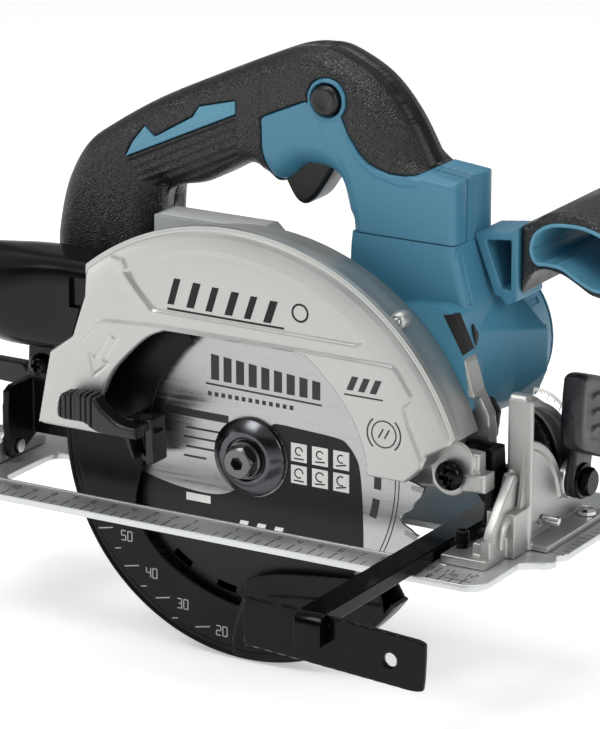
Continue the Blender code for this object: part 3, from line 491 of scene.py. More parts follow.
def soften(ob, voxel=0.8, times=4, wrap=True):
    """Even mesh over the shape, pulled back to it, with its edges rounded."""
    src = None
    if wrap:
        src = bpy.data.objects.new("src", ob.data.copy())
        bpy.context.scene.collection.objects.link(src)
    m = ob.modifiers.new("r", 'REMESH')
    m.mode = 'VOXEL'
    m.voxel_size = voxel * MM
    if wrap:
        w = ob.modifiers.new("w", 'SHRINKWRAP')
        w.target = src
        w.wrap_method = 'NEAREST_SURFACEPOINT'
    s = ob.modifiers.new("s", 'SMOOTH')
    s.factor = 0.5
    s.iterations = times
    bake(ob)
    if src:
        drop(src)
    return ob


def place(ob, material, body, hides="", angle=38):
    hides = hides.split()
    ob.data.materials.clear()
    ob.data.materials.append(material)
    ob.data.shade_smooth()
    if angle < 170:
        ob.data.set_sharp_from_angle(angle=math.radians(angle))
    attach(ob, body)
    if hides:
        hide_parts(*hides)
    return ob


def from_cad(node, name, voxel=0.7, times=3):
    ob = bpy.data.objects.new(name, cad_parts[node].data.copy())
    bpy.context.scene.collection.objects.link(ob)
    return soften(ob, voxel, times)


DIGITS = {0: [[(0, 0), (1, 0), (1, 2), (0, 2), (0, 0)]], 1: [[(0.2, 1.6), (0.6, 2), (0.6, 0)]], 2: [[(0, 2), (1, 2), (1, 1), (0, 1), (0, 0), (1, 0)]],
          3: [[(0, 2), (1, 2), (1, 0), (0, 0)], [(0.3, 1), (1, 1)]], 4: [[(0, 2), (0, 1), (1, 1)], [(1, 2), (1, 0)]],
          5: [[(1, 2), (0, 2), (0, 1), (1, 1), (1, 0), (0, 0)]], 6: [[(1, 2), (0, 2), (0, 0), (1, 0), (1, 1), (0, 1)]],
          7: [[(0, 2), (1, 2), (0.4, 0)]], 8: [[(0, 0), (1, 0), (1, 2), (0, 2), (0, 0)], [(0, 1), (1, 1)]],
          9: [[(0, 0), (1, 0), (1, 2), (0, 2), (0, 1), (1, 1)]]}


class Ink:
    """Thin raised marks gathered in one mesh; put maps (u, v) on the marked face to a place."""

    def __init__(self, put, t=0.05):
        self.put, self.t, self.v, self.f = put, t, [], []

    def quad(self, a, b, c, d):
        n = len(self.v)
        for h in (-0.25, self.t):
            for p in (a, b, c, d):
                self.v.append(self.put(p[0], p[1], h))
        self.f += [(n + 4, n + 5, n + 6, n + 7), (n + 3, n + 2, n + 1, n)] + [(n + i, n + (i + 1) % 4, n + 4 + (i + 1) % 4, n + 4 + i) for i in range(4)]

    def line(self, p, q, w=0.25):
        dx, dy = q[0] - p[0], q[1] - p[1]
        k = math.hypot(dx, dy) or 1
        nx, ny = -dy / k * w / 2, dx / k * w / 2
        self.quad((p[0] - nx, p[1] - ny), (q[0] - nx, q[1] - ny), (q[0] + nx, q[1] + ny), (p[0] + nx, p[1] + ny))

    def poly(self, pts):
        n, k = len(self.v), len(pts)
        for h in (-0.25, self.t):
            for p in pts:
                self.v.append(self.put(p[0], p[1], h))
        self.f += [tuple(n + k + i for i in range(k)), tuple(n + i for i in reversed(range(k)))]
        self.f += [(n + i, n + (i + 1) % k, n + k + (i + 1) % k, n + k + i) for i in range(k)]

    def number(self, value, c, h=2.4, w=0.28, turn=0.0):
        s = str(value)
        adv = h * 0.75
        x0 = -adv * (len(s) - 1) / 2 - h * 0.25
        ct, st = math.cos(math.radians(turn)), math.sin(math.radians(turn))
        for i, ch in enumerate(s):
            for run in DIGITS[int(ch)]:
                for a, b in zip(run, run[1:]):
                    pts = []
                    for q in (a, b):
                        x, y = x0 + i * adv + q[0] * h / 2, q[1] * h / 2 - h / 2
                        pts.append((c[0] + x * ct - y * st, c[1] + x * st + y * ct))
                    self.line(pts[0], pts[1], w)

    def arc(self, c, r, d0, d1, w, n=24):
        pts = arc(c, r, d0, d1, n)
        for a, b in zip(pts, pts[1:]):
            self.line(a, b, w)

    def done(self, name):
        ob = mesh_ob(name, self.v, self.f)
        bm = bmesh.new()
        bm.from_mesh(ob.data)
        bmesh.ops.recalc_face_normals(bm, faces=bm.faces)
        bm.to_mesh(ob.data)
        bm.free()
        return ob


FINE = 0.5      # mesh cell, mm

# ------------------------------------------------------------------ blade case
CC = (0.5, 16.3)
case_edge = poly_sdf([(-70, 140), (-70, 90), (-76, 72), (-87.5, 63.5), (-94, 31), (-62, 31), (0, 34.2), (84, 34.2), (88, 37.5), (91.5, 41), (93.5, 46.5), (103, 52.2), (106, 56),
                      (113, 70), (113, 90), (110, 140)])
case_win = poly_sdf(smooth([(-62.5, 18, 1), (-62, 44), (-60, 50.5), (-55.5, 59.5), (-47.6, 68.6), (-39.4, 76.2), (-32.1, 80), (-26, 80.9), (16, 81),
                            (34.5, 80.8), (40.8, 77.6), (45.4, 73.4), (52.5, 66.4), (58.8, 57.7), (63.6, 47.9), (66, 36.8), (66.4, 18, 1)], 4))
panel_a = poly_sdf(smooth([(-49.5, 103.5, 1), (-42, 108.2), (-32.9, 112.1), (-24, 114.8), (-14.4, 116.6), (-4.5, 117.1), (5.3, 116.3), (16, 114.6), (26.1, 111.8),
                           (35.5, 108.6), (44.0, 104.6), (52.6, 99.6), (60.4, 93.5), (63.9, 90.0, 1), (60.5, 88.4, 1), (-36.1, 89.0, 1)], 4))
panel_l = poly_sdf([(-100, 20), (-79, 47.2), (-72.7, 68.8), (-63.5, 79.0), (-60.8, 80.8), (-57.1, 81.4), (-37.6, 82.6), (5.1, 82.8), (46.8, 82.6), (74.1, 82.4),
                    (77.6, 82.0), (79.8, 80.4), (86.3, 70.9), (86.2, 69), (83.2, 66.0), (83.2, 64.6), (85.1, 58.4), (96.0, 34.0), (97, 20)])
slant = poly_sdf([(-56.5, 108.4), (-46.1, 94.1), (-38.9, 86.4), (-34.1, 88.4), (-43.9, 97.7), (-50.6, 108.6)])
arrow = poly_sdf([(-56.4, 75.6), (-53.2, 74.3), (-60.0, 64.3), (-57.4, 62.8), (-64.9, 56.4), (-66.9, 65.9), (-63.7, 64.9)])
rimring = line_dist(arc(CC, 107.9, 10, 150, 90))


def case_face(x, z, d):
    r_ = np.hypot(x - CC[0], z - CC[1])
    y = np.interp(r_, [0, 92, 97, 101, 104.5, 107.5, 109.5, 110.8, 111.5, 112], [-19.9, -19.9, -19.8, -19.5, -19.1, -18.6, -17.9, -17.1, -16.4, -15.2])
    y = y + 0.75 * fade(panel_a(x, z), 1.5)
    y = y - 0.7 * fade(panel_l(x, z), 1.6)
    y = y - 0.5 * fade(slant(x, z), 2.2)
    y = y + 0.45 * fade(np.abs(arrow(x, z)) - 0.45, 0.7)
    edge = np.maximum(case_edge(x, z), -case_win(x, z))
    y = y + rnd(np.minimum(edge, 0), 1.3)
    return y


case_sdf = lambda x, z: np.maximum(np.maximum(case_edge(x, z), -case_win(x, z)), np.hypot(x - CC[0], z - CC[1]) - 111.95)
case = field("saw_case_face", case_sdf, case_face, -17.4, (-95, 113, 30, 130), FINE)
rim = turned("rim", 'y', CC, [(93.5, -17.6), (111.0, -17.6), (111.9, -15.4), (111.7, -13.6), (110.2, -11.6), (109.3, -10.6), (107.6, 0), (107.0, 9.2), (106.4, 10), (93.5, 10)],
             220, -5, 185)
keep = prism("keep", 'y', [(-70, 140), (-70, 90), (-76, 72), (-87.5, 63.5), (-94, 31), (-62, 31), (0, 34.2), (84, 34.2), (88, 37.5), (91.5, 41), (93.5, 46.5), (103, 52.2), (106, 56),
                           (113, 70), (113, 90), (110, 140)], -30, 20)
boolean(rim, 'INTERSECT', keep)
cut(rim, turned("rim_room", 'y', ARBOR, [(0, -25), (90.3, -25), (90.3, 7.5), (0, 7.5)], 180))
back = prism("case_back", 'y', [(p[0], p[1]) for p in arc(CC, 106.6, 8, 172, 80)] + [(-94, 31), (-62, 31), (-20, 46), (20, 46), (64, 31.6), (84, 34.2), (95, 42)], 7.6, 9.9)
boolean(back, 'INTERSECT', prism("keep2", 'y', [(-70, 140), (-70, 90), (-76, 72), (-87.5, 63.5), (-94, 31), (-62, 31), (0, 34.2), (84, 34.2), (88, 38), (95, 42),
                                               (99.5, 76), (110, 90), (110, 140)], -30, 20))
cut(back, turned("hub_room", 'y', ARBOR, [(0, 2), (21.2, 2), (21.2, 14), (0, 14)], 96))
merge(case, rim, back)
place(case, CAST, "head", "blade_case")

# pivot boss, front lug, pointer and rim boss
boss = turned("boss", 'y', PIV, [(4.4, -7.8), (5.3, -9.0), (6.6, -9.0), (7.0, -8.6), (7.3, -6), (9.2, -5.6), (9.2, 9.8), (4.4, 9.8)], 72)
web = prism("web", 'y', [(80, 34.5), (86.5, 31.8), (97.5, 23), (99.4, 24.2), (98.4, 30), (107.5, 31.5), (108.5, 41), (107.1, 48.2), (97.0, 52.4), (87.0, 45.6), (80, 56)], -5.8, 9.8, 0.7)
pad = prism("pad", 'y', smooth([(87.4, 45.4), (97.0, 51.6), (106.4, 47.8), (108.2, 40), (105, 30.5), (97.3, 27.2), (89.4, 32.0)], 5), -7.0, -5, 0.7)
lug = prism("lug", 'y', [(103.1, 37.3), (114.0, 38.6), (114.0, 30.9), (103.2, 30.0)], -8.4, 1.5, 1.2)
lug2 = prism("lug2", 'y', [(103, 46.5), (110, 46), (110, 38), (103, 38)], -5.6, 1, 0.8)
merge(boss, web, pad, lug, lug2)
cut(boss, box("plate_room", 101.8, 122, 2.2, 12, 38.6, 62), turned("guard_room", 'y', ARBOR, [(0, -25), (89.8, -25), (89.8, 12), (0, 12)], 220))
place(soften(boss, 0.5, 2), CAST, "head").name = "pivot_boss"
rb = turned("rim_boss", 'y', (74.4, 98.2), [(1.2, -10.6), (2.6, -10.9), (3.4, -10.3), (3.7, -9.2), (3.9, -6.0), (2.6, -2.0), (0.0, 0.6), (0.0, -9.4)], 48)
place(rb, CAST, "head")


def screw_head(name, axis, c, r_, a0, a1, material, body, hides, cross=True, hexs=False):
    """A pan head with a cross recess when cross is set (hexs is not used): a0 is its outer face."""
    s = 1 if a1 > a0 else -1
    h = abs(a1 - a0)
    prof = [(0, a0 + s * h * 0.1), (r_ * 0.45, a0 + s * h * 0.12), (r_ * 0.75, a0 + s * h * 0.25), (r_ * 0.95, a0 + s * h * 0.55), (r_, a0 + s * h * 0.8), (r_, a1), (0, a1)]
    o = turned(name, axis, c, prof, 48)
    w = r_ * 0.16
    def bx(du, dv):
        e0, e1 = sorted((a0 - s * 0.5, a0 + s * h * 0.62))
        if axis == 'y':
            return box("slot", c[0] - du, c[0] + du, e0, e1, c[1] - dv, c[1] + dv)
        if axis == 'x':
            return box("slot", e0, e1, c[0] - du, c[0] + du, c[1] - dv, c[1] + dv)
        return box("slot", c[0] - du, c[0] + du, c[1] - dv, c[1] + dv, e0, e1)
    if cross:
        cut(o, bx(r_ * 0.5, w), bx(w, r_ * 0.5))
    return place(o, material, body, hides)


screw_head("case_rim_screw", 'y', (74.4, 98.2), 1.7, -11.3, -10.4, BRIGHT, "head", "case_screw")
screw_head("nozzle_fixing_screw", 'y', (-100, 52.5), 4.8, -12.4, -7.9, GLOSS, "head", "nozzle_screw")
screw_head("pivot_dome_screw", 'y', PIV, 6.2, -14.2, -9.4, GLOSS, "tilt", "depth_pivot_pin")


def on_case(u_, v_, h):
    y = float(case_face(np.array([u_]), np.array([v_]), np.array([-9.0]))[0])
    return (u_, y - h, v_)


g = Ink(on_case, 0.06)
for k in range(6):
    x0 = -29 + 9.2 * k
    zt, zb = 104.0 - 0.55 * k, 92.6 - 0.2 * k
    g.poly([(x0, zb), (x0 + 3.2 + 0.5 * (k % 2), zb), (x0 + 6.6 + 0.5 * (k % 2), zt), (x0 + 3.4, zt)])
g.line((-29, 90.6), (27, 90.3), 0.9)
g.arc((34.5, 98), 3.6, 0, 360, 0.9)
gm = place(g.done("case_graphic"), INK, "head")
g = Ink(on_case, 0.05)
for k in range(3):
    g.poly([(57 + 5.4 * k, 69.6), (60 + 5.4 * k, 69.6), (62.6 + 5.4 * k, 75.6), (59.6 + 5.4 * k, 75.6)])
g.line((56, 67.6), (74, 67.6), 0.7)
g.arc((74.5, 53.4), 5.6, 0, 360, 0.6, 36)
g.arc((74.5, 53.4), 7.7, 130, 230, 0.7)
g.arc((74.5, 53.4), 7.7, -50, 50, 0.7)
g.line((72.0, 51.6), (74.2, 55.6), 0.7)
g.line((74.8, 51.6), (77.0, 55.6), 0.7)
place(g.done("case_icons"), INK_S, "head")

# ------------------------------------------------------------------ blade and its fixings
TEETH = 24
R = 82.5
pts = []
tips = []
for i in range(TEETH):
    a0 = -360.0 * i / TEETH
    for rr, dd in ((R - 0.5, 0.0), (R - 0.9, -1.6), (R - 2.0, -3.2), (R - 3.6, -4.4), (R - 4.8, -5.6), (R - 5.4, -7.4), (R - 6.6, -8.6), (R - 8.4, -9.6),
                   (R - 9.6, -10.8), (R - 9.9, -12.0), (R - 9.0, -13.0), (R - 7.2, -13.5), (R - 4.4, -14.0)):
        t = math.radians(a0 + dd)
        pts.append((ARBOR[0] + rr * math.cos(t), ARBOR[1] + rr * math.sin(t)))
    tips.append(a0)
blade = prism("saw_disc", 'y', pts, -0.65, 0.65, 0.0, holes=[arc(ARBOR, 9.95, 0, 354, 59)])
slots = []
for q in range(4):
    t0 = 22 + 90 * q
    slots.append(prism("slot", 'y', [(ARBOR[0] + rr * math.cos(math.radians(t0 + dd)), ARBOR[1] + rr * math.sin(math.radians(t0 + dd)))
                                     for rr, dd in ((R + 2, 4.9), (R - 12, 4.6), (R - 20, 6.2), (R - 20.6, 7.2), (R - 19.6, 7.0), (R - 11.6, 5.2), (R + 2, 5.5))], -2, 2))
cut(blade, *slots)
place(blade, BLADE, "spindle", "saw_blade", angle=30)
tv, tf = [], []
for a0 in tips:
    t = math.radians(a0 - 0.15)
    er = Vector((math.cos(t), math.sin(t)))
    et = Vector((-math.sin(t), math.cos(t)))
    c0 = Vector(ARBOR)
    q = [c0 + er * (R - 6.4) + et * 0.25, c0 + er * R + et * 0.5, c0 + er * (R - 0.75) - et * 2.0, c0 + er * (R - 6.0) - et * 1.5]
    n = len(tv)
    for y, s in ((-0.82, 1), (0.82, 1)):
        for p in q:
            tv.append((p.x, y, p.y))
    tf += [(n, n + 1, n + 2, n + 3), (n + 7, n + 6, n + 5, n + 4)] + [(n + i, n + 4 + i, n + 4 + (i + 1) % 4, n + (i + 1) % 4) for i in range(4)]
tp = mesh_ob("carbide_tips", tv, tf)
bm = bmesh.new()
bm.from_mesh(tp.data)
bmesh.ops.recalc_face_normals(bm, faces=bm.faces)
bm.to_mesh(tp.data)
bm.free()
place(tp, CARBIDE, "spindle", angle=20)

blade_y = -0.65
ring_band = lambda r0, r1: (lambda x, z: np.maximum(np.hypot(x, z - 26) - r1, r0 - np.hypot(x, z - 26)))
zone = poly_sdf(smooth([(-75, 20, 1), (-66, 14), (-51.0, 9.9), (-36.3, 7.0), (-18.8, 6.2), (-8, 10), (0, 20), (6, 34), (10.0, 41.3), (15, 42.2), (21.4, 41.9),
                        (41.0, 40.8), (46.4, 38.6), (50.5, 33.4), (52.2, 28), (53.4, 16.2), (54, 0, 1), (54, -24, 1), (0, -44, 1), (-40, -36, 1)], 4))
zone2 = lambda x, z: np.maximum(zone(x, z), ring_band(17.6, 65.5)(x, z))
pr = field("blade_print", zone2, blade_y - 0.05, blade_y + 0.2, (-67, 68, -42, 44), 0.8)
place(pr, INK, "spindle")
g = Ink(lambda u_, v_, h: (u_, blade_y - h, v_), 0.05)
for rr in (70.6, 68.9):
    g.arc(ARBOR, rr, 0, 360, 0.5, 120)
for k in range(5):
    g.arc(ARBOR, 61.0, -150 + 22 * k, -141 + 22 * k, 3.2, 8)
    g.arc(ARBOR, 60.6, -16 + 12 * k, -8 + 12 * k, 3.4, 8)
for k in range(9):
    x0 = -19.4 + 6.1 * k
    g.poly([(x0, 56.6 - 0.12 * k), (x0 + 3.9, 56.6 - 0.12 * k), (x0 + 3.9, 67.4 - 0.5 * k), (x0, 67.8 - 0.5 * k)])
g.line((-22, 54.6), (34, 53.6), 0.8)
for k in range(13):
    g.line((-21 + 3.3 * k, 50.4), (-19.2 + 3.3 * k, 50.3), 1.9)
g.line((-44, 40.3), (-11, 40.2), 3.4)
for k, w_ in enumerate((20, 22, 18, 14)):
    g.line((-32 - (k % 2), 33.8 - 4.2 * k), (-32 + w_ - 4 * (k // 3), 33.8 - 4.2 * k), 0.9)
place(g.done("blade_marks"), INK_S, "spindle")
g = Ink(lambda u_, v_, h: (u_, blade_y - 0.05 - h, v_), 0.05)
for i in range(3):
    for j in range(2):
        x0, z0 = 19.3 + 10.1 * i, 27.4 - 9.6 * j
        g.quad((x0, z0), (x0 + 7.6, z0), (x0 + 7.6, z0 + 8.0), (x0, z0 + 8.0))
for k in range(3):
    g.quad((-6 + 8.5 * k, -5), (-2 + 8.5 * k, -5), (-1.2 + 8.5 * k, -2.9), (-5.2 + 8.5 * k, -2.9))
g.quad((-32, 1.6), (-20, 1.6), (-20, 5), (-32, 5))
place(g.done("blade_icons"), INK_W, "spindle")
g = Ink(lambda u_, v_, h: (u_, blade_y - 0.1 - h, v_), 0.05)
for i in range(3):
    for j in range(2):
        x0, z0 = 19.3 + 10.1 * i, 27.4 - 9.6 * j
        g.arc((x0 + 3.8, z0 + 4.6), 1.7 + 0.3 * j, 30 * i, 300, 0.6, 10)
        g.line((x0 + 1.4, z0 + 1.3), (x0 + 6.2, z0 + 1.3 + 0.5 * i), 0.6)
place(g.done("blade_icon_lines"), INK, "spindle")

fl = turned("clamp_flange", 'y', ARBOR, [(3.8, -5.2), (8.8, -5.2), (9.3, -6.1), (9.8, -6.3), (11.6, -6.3), (12.1, -6.1), (16.5, -3.1), (16.9, -2.6), (16.9, -1.3), (16.5, -1.0), (3.8, -1.0)], 128)
place(fl, OXIDE_F, "spindle", "outer_flange", angle=22)


def hexagon(c, af, turn=0):
    r_ = af / 2 / math.cos(math.pi / 6)
    return [(c[0] + r_ * math.cos(math.radians(60 * i + turn)), c[1] + r_ * math.sin(math.radians(60 * i + turn))) for i in range(6)]


hx = prism("bolt_head", 'y', hexagon(ARBOR, 13, 12), -12.4, -7.4)
boolean(hx, 'INTERSECT', turned("chamfer", 'y', ARBOR, [(0, -12.4), (6.0, -12.4), (7.6, -11.2), (7.7, -7.0), (0, -7.0)], 72), solver='MANIFOLD')
cut(hx, prism("socket", 'y', hexagon(ARBOR, 5.4, 12), -14, -8.6), solver='MANIFOLD')
bf = turned("bolt_collar", 'y', ARBOR, [(0, -7.6), (7.4, -7.6), (8.0, -7.3), (8.3, -6.6), (8.3, -5.3), (0, -5.3)], 72)
merge(hx, bf)
place(hx, BOLT_M, "spindle", "blade_bolt", angle=25)

# ------------------------------------------------------------------ main handle
arch = smooth([(-60, 88.3, 1), (-112, 88.3, 1), (-112.5, 103), (-107.5, 125), (-98, 142), (-86, 151.5), (-62, 165.8), (-33, 179.5),
               (-15, 187.5), (1, 194), (12, 196), (23, 195), (41, 186), (55, 171), (66, 152, 1), (84, 149.4, 1), (84, 123.2, 1), (34, 123.2, 1),
               (31.5, 131), (26, 144.5), (12, 147), (4, 141), (-2, 137.6), (-8, 141), (-17, 143.5), (-38, 132.7), (-52, 129), (-60, 122)], 6)
H = poly_sdf(arch)
TR = poly_sdf([(-7.6, 165.4), (-5.5, 166.9), (13.5, 175.2)] + arc(LOCK, 9.2, 195, -42, 24) + [(34, 163.5), (39.2, 156.4), (43, 153.2), (47.5, 151.3), (53, 150),
              (58.5, 149.6), (65.3, 150.5), (78, 156), (100, 160), (100, 100), (0, 100), (0.8, 138.9), (-2.7, 141), (-5.5, 145.6), (-7.2, 152.9)])
STR = poly_sdf([(-74.6, 140.3), (-70.4, 148.0), (-64.4, 155.3), (-59.4, 151.3), (-40.6, 162.2), (-37.6, 166.9), (-20.4, 171.3), (-19.6, 170.6), (-19.4, 165.6)])
PAD = poly_sdf([(-73.6, 139.0), (-19.6, 163.7), (-19.6, 147.0), (-58.9, 127.2), (-64.0, 128.6), (-73.0, 138.0)])
BAND = poly_sdf([(-19.3, 190), (-7.9, 190), (-7.9, 130), (-19.3, 130)])
LK = circ(LOCK[0], LOCK[1], 7.0)
ca, sa = math.cos(math.radians(25)), math.sin(math.radians(25))


def grip_r(x, z):
    return 10.6 - 7.4 * fade(40 - x, 24) * fade(z - 152, 8)


HX = poly_sdf(smooth([(-60, 60, 1), (-114, 60, 1), (-112.5, 88), (-112.5, 103), (-107.5, 125), (-98, 142), (-86, 151.5), (-62, 165.8), (-33, 179.5),
               (-15, 187.5), (1, 194), (12, 196), (23, 195), (41, 186), (55, 171), (66, 152, 1), (84, 149.4, 1), (84, 90, 1), (34, 90, 1), (34, 123.2),
               (31.5, 131), (26, 144.5), (12, 147), (4, 141), (-2, 137.6), (-8, 141), (-17, 143.5), (-38, 132.7), (-52, 129), (-60, 122)], 6))


def grip_y(x, z, d):
    dh = HX(x, z)
    y = 20 + rnd(dh, grip_r(x, z))
    s = -sa * x + ca * z
    p = fade(PAD(x, z), 0.8)
    y = y + p * (0.5 + 0.75 * np.abs(np.cos(math.pi * (s - 152.33) / 3.44)) ** 0.7 - 0.3)
    y = y + 0.45 * fade(np.abs(STR(x, z)) - 0.35, 0.5)
    y = y - 0.35 * fade(BAND(x, z), 0.8) * fade(140 - z, 4)
    t = TR(x, z)
    y = y + 0.5 * fade(np.abs(t) - 0.2, 0.6)
    ring = np.hypot(x - LOCK[0], z - LOCK[1])
    y = y - 0.6 * fade(np.abs(ring - 8.1) - 0.7, 0.8)
    # raised flank edge of the blue part, running down from the button ring
    e = line_dist([(30.5, 169.5), (36.5, 158), (41, 152.8), (47.5, 148.9), (58, 146.6), (66, 147.6)])(x, z)
    y = y - 0.55 * fade(e - 1.2, 1.4) * fade(t + 0.4, 0.5)
    e2 = line_dist([(21.5, 167), (27, 156), (33, 146), (37.5, 134), (38, 124)])(x, z)
    y = y + 0.35 * fade(e2 - 0.9, 2.2) * fade(t, 1)
    return y


HC = 0.5


def ease(ob, times=3):
    m = ob.modifiers.new("e", 'SMOOTH')
    m.factor = 0.5
    m.iterations = times
    return bake(ob)


hb = (-114, 86, 87, 198)
far_y = lambda x, z, d: 74 - grip_y(x, z, d)
rub = lambda x, z: np.maximum(np.maximum(H(x, z), -TR(x, z)), -STR(x, z))
rub2 = lambda x, z: np.maximum(H(x, z), -TR(x, z))
tea = lambda x, z: np.maximum(np.maximum(H(x, z), TR(x, z)), -LK(x, z))
near_g = field("handle_grip_near", rub, lambda x, z, d: np.minimum(grip_y(x, z, d), 30.9), 31.0, hb, HC)
place(ease(near_g), RUBBER, "head", "handle_near", angle=60)
far_g = field("handle_grip_far", rub2, 43.0, lambda x, z, d: np.maximum(far_y(x, z, d), 43.1), hb, HC)
place(ease(far_g), RUBBER, "head", "handle_far", angle=60)
for nm, f_, m_, sl in (("handle_spine", rub2, RUBBER_S, "handle_far"), ("handle_blue_core", tea, TEAL, "handle_near")):
    a_ = field(nm + "_a", f_, 30.95, lambda x, z, d: 36.9 - rnd(H(x, z), 0.4), hb, HC)
    b_ = field(nm + "_b", f_, lambda x, z, d: 37.1 + rnd(H(x, z), 0.4), 43.05, hb, HC)
    merge(a_, b_)
    place(a_, m_, "head", angle=50)
tn = field("handle_blue_near", tea, lambda x, z, d: np.minimum(grip_y(x, z, d), 30.9), 31.0, hb, HC)
place(ease(tn), TEAL, "head", angle=60)
tf_ = field("handle_blue_far", tea, 43.0, lambda x, z, d: np.maximum(far_y(x, z, d), 43.1), hb, HC)
place(ease(tf_), TEAL, "head", angle=60)
st = field("handle_stripe", lambda x, z: STR(x, z) + 0.25,
           lambda x, z, d: 20 + rnd(HX(x, z), grip_r(x, z)) - 0.15 + rnd(d, 0.5) + 0.3 * fade(np.abs(d + 1.5) - 0.2, 0.4), 31.0, (-78, -17, 138, 173), 0.45)
place(st, TEAL_L, "head", angle=50)

tg = prism("trigger_lever", 'y', smooth([(-1.5, 141.5), (1, 135), (4.5, 130.3), (8.5, 129), (13, 132), (18, 139), (23, 147), (28.5, 152), (28, 156.5),
                                         (16, 156.5, 1), (2, 150, 1)], 8), 28.4, 45.6, 2.4, res=5)
place(tg, BLACK_P, "trigger", "trigger", angle=60)
lb = turned("lock_button", 'y', LOCK, [(0, 17.9), (3.4, 17.7), (4.6, 17.3), (5.6, 17.5), (6.3, 18.3), (6.5, 19.6), (6.5, 54.4), (6.3, 55.7), (5.6, 56.5), (4.6, 56.7), (3.4, 56.3), (0, 56.1)], 96)
place(lb, BLACK_P, "lock_off", "lock_off_button", angle=60)

# ------------------------------------------------------------------ motor housing
mh = from_cad("motor_housing", "motor_body", 0.8, 4)
place(mh, TEAL, "head", "motor_housing", angle=50)
tail = turned("motor_tail", 'y', (55, 66), [(31.2, 60), (35.6, 60), (35.6, 74), (35.2, 74.4), (35.2, 75.0), (35.6, 75.4), (35.6, 94.8), (35.2, 95.6), (34.6, 96), (31.2, 96)], 144)
vents = []
for a_ in list(range(-70, 71, 20)) + list(range(110, 251, 20)):
    t = math.radians(a_)
    b_ = box("vent", 28, 40, 79, 91, -1.5, 1.5)
    M = Matrix.Translation(P(55, 0, 66)) @ Matrix.Rotation(-t, 4, 'Y') @ Matrix.Translation(-P(0, 0, 0))
    b_.data.transform(M)
    vents.append(b_)
cut(tail, *vents)
place(tail, TEAL, "head", angle=40)
ec = turned("motor_cap", 'y', (55, 66), [(0, 102.2), (9, 102.2), (9.6, 102.9), (10.2, 104.3), (11, 104.5), (23.6, 104.5), (27, 103.9), (31, 102), (34.6, 98.6), (35.4, 97.2), (35.5, 96.3), (9.4, 96.3), (9.4, 101.2), (0, 101.2)], 128)
cs = []
for k in range(10):
    t = math.radians(36 * k)
    b_ = box("cap_vent", 14, 24, 102.6, 106, -1.1, 1.1)
    b_.data.transform(Matrix.Translation(P(55, 0, 66)) @ Matrix.Rotation(-t, 4, 'Y') @ Matrix.Translation(-P(0, 0, 0)))
    cs.append(b_)
cut(ec, *cs)
place(ec, TEAL, "head", "motor_end_cap", angle=30)
nks = poly_sdf([(35.2, 123.05), (34.2, 110), (29, 101), (24, 97), (60, 90), (89.5, 97.2), (84, 122), (84, 123.05)])
nkx = poly_sdf([(35.2, 150), (35.2, 123.05), (34.2, 110), (29, 101), (22, 94), (60, 85), (91, 92), (84, 122), (84, 150)])
nk_ = field("housing_neck", nks, lambda x, z, d: 19.85 + rnd(nkx(x, z), 3.2), 54.1, (22, 92, 88, 124), HC)
place(nk_, TEAL, "head", angle=60)

hf_s = poly_sdf([(66, 98.5), (90.2, 98.5), (93, 88), (95.2, 72), (95.2, 60), (88, 55), (70, 58)])
hf_ = field("housing_front", hf_s, lambda x, z, d: 20.3 + rnd(d, 2.2) + 0.06 * np.clip(z - 75, 0, 20), 30.0, (64, 97, 54, 100), 0.7)
place(hf_, TEAL, "head", angle=60)
cw_s = poly_sdf([(60, 97), (70, 99.5), (84, 100), (90.6, 97.2), (91.8, 89), (94.3, 79), (95.8, 70), (96.4, 64), (97.2, 58), (95.0, 55.2), (88, 57.5), (80, 66), (66, 80)])
cw_ = field("housing_cowl", cw_s, 10.1, lambda x, z, d: 25.5 - rnd(d, 1.6), (58, 101, 53, 101), 0.6)
place(cw_, TEAL, "head", angle=60)
seam = prism("cowl_seam", 'y', [(97.8, 58.2), (97.7, 56.4), (95.2, 53.4), (87.0, 55.8), (87.8, 57.6), (94.8, 55.4), (97.0, 57.8)], 10.2, 24.6, 0.2)
place(seam, BLACK_P, "head")
plug = prism("housing_plug", 'y', [(84.4, 97.4), (90.8, 98.6), (97.6, 84.6), (93.6, 81.4)], 9.9, 13.2, 0.4)
place(plug, BLACK_P, "head")

# battery housing
bh = from_cad("battery_housing", "battery_bay", 0.9, 3)
place(bh, BLACK_P, "head", "battery_housing", angle=50)

# ------------------------------------------------------------------ front grip
so = poly_sdf(smooth([(104.3, 130.5, 1), (109.7, 133), (114.5, 136.3), (122, 138.3), (131, 138.2), (140.4, 135.2), (149, 130), (155, 124),
                      (157.5, 117), (156, 110), (150.5, 105.6), (143, 104.6), (136.4, 105.2), (130, 108.6), (123, 112), (114.7, 113.2),
                      (109, 110), (104.3, 101.5, 1)], 5))
hi = poly_sdf(smooth([(110.3, 121.5), (112, 127.6), (118, 131.8), (126.5, 133), (134, 132.6), (142, 130), (148, 125.6), (151.5, 119.5), (151.8, 114),
                      (148.5, 110), (142, 109), (137, 109.6), (130.5, 112.6), (124, 116.2), (117, 117), (112.3, 117)], 5))
sl_sdf = lambda x, z: np.maximum(so(x, z), 1.6 - hi(x, z))
gs = field("front_grip_cover", sl_sdf, lambda x, z, d: 38 + rnd(so(x, z), 3.4), lambda x, z, d: 128 - rnd(so(x, z), 3.4), (103, 159, 100, 140), 0.55)
place(gs, RUBBER, "head", "front_grip_sleeve", angle=60)
gc_ = field("front_grip_liner", lambda x, z: np.maximum(hi(x, z) - 1.5, -hi(x, z)), lambda x, z, d: 37.4 + rnd(d, 0.35), lambda x, z, d: 127.6 - rnd(d, 0.35), (108, 154, 106, 136), 0.45)
place(gc_, TEAL_L, "head", "front_grip_core", angle=50)
br = from_cad("grip_bracket", "grip_arm", 0.6, 2)
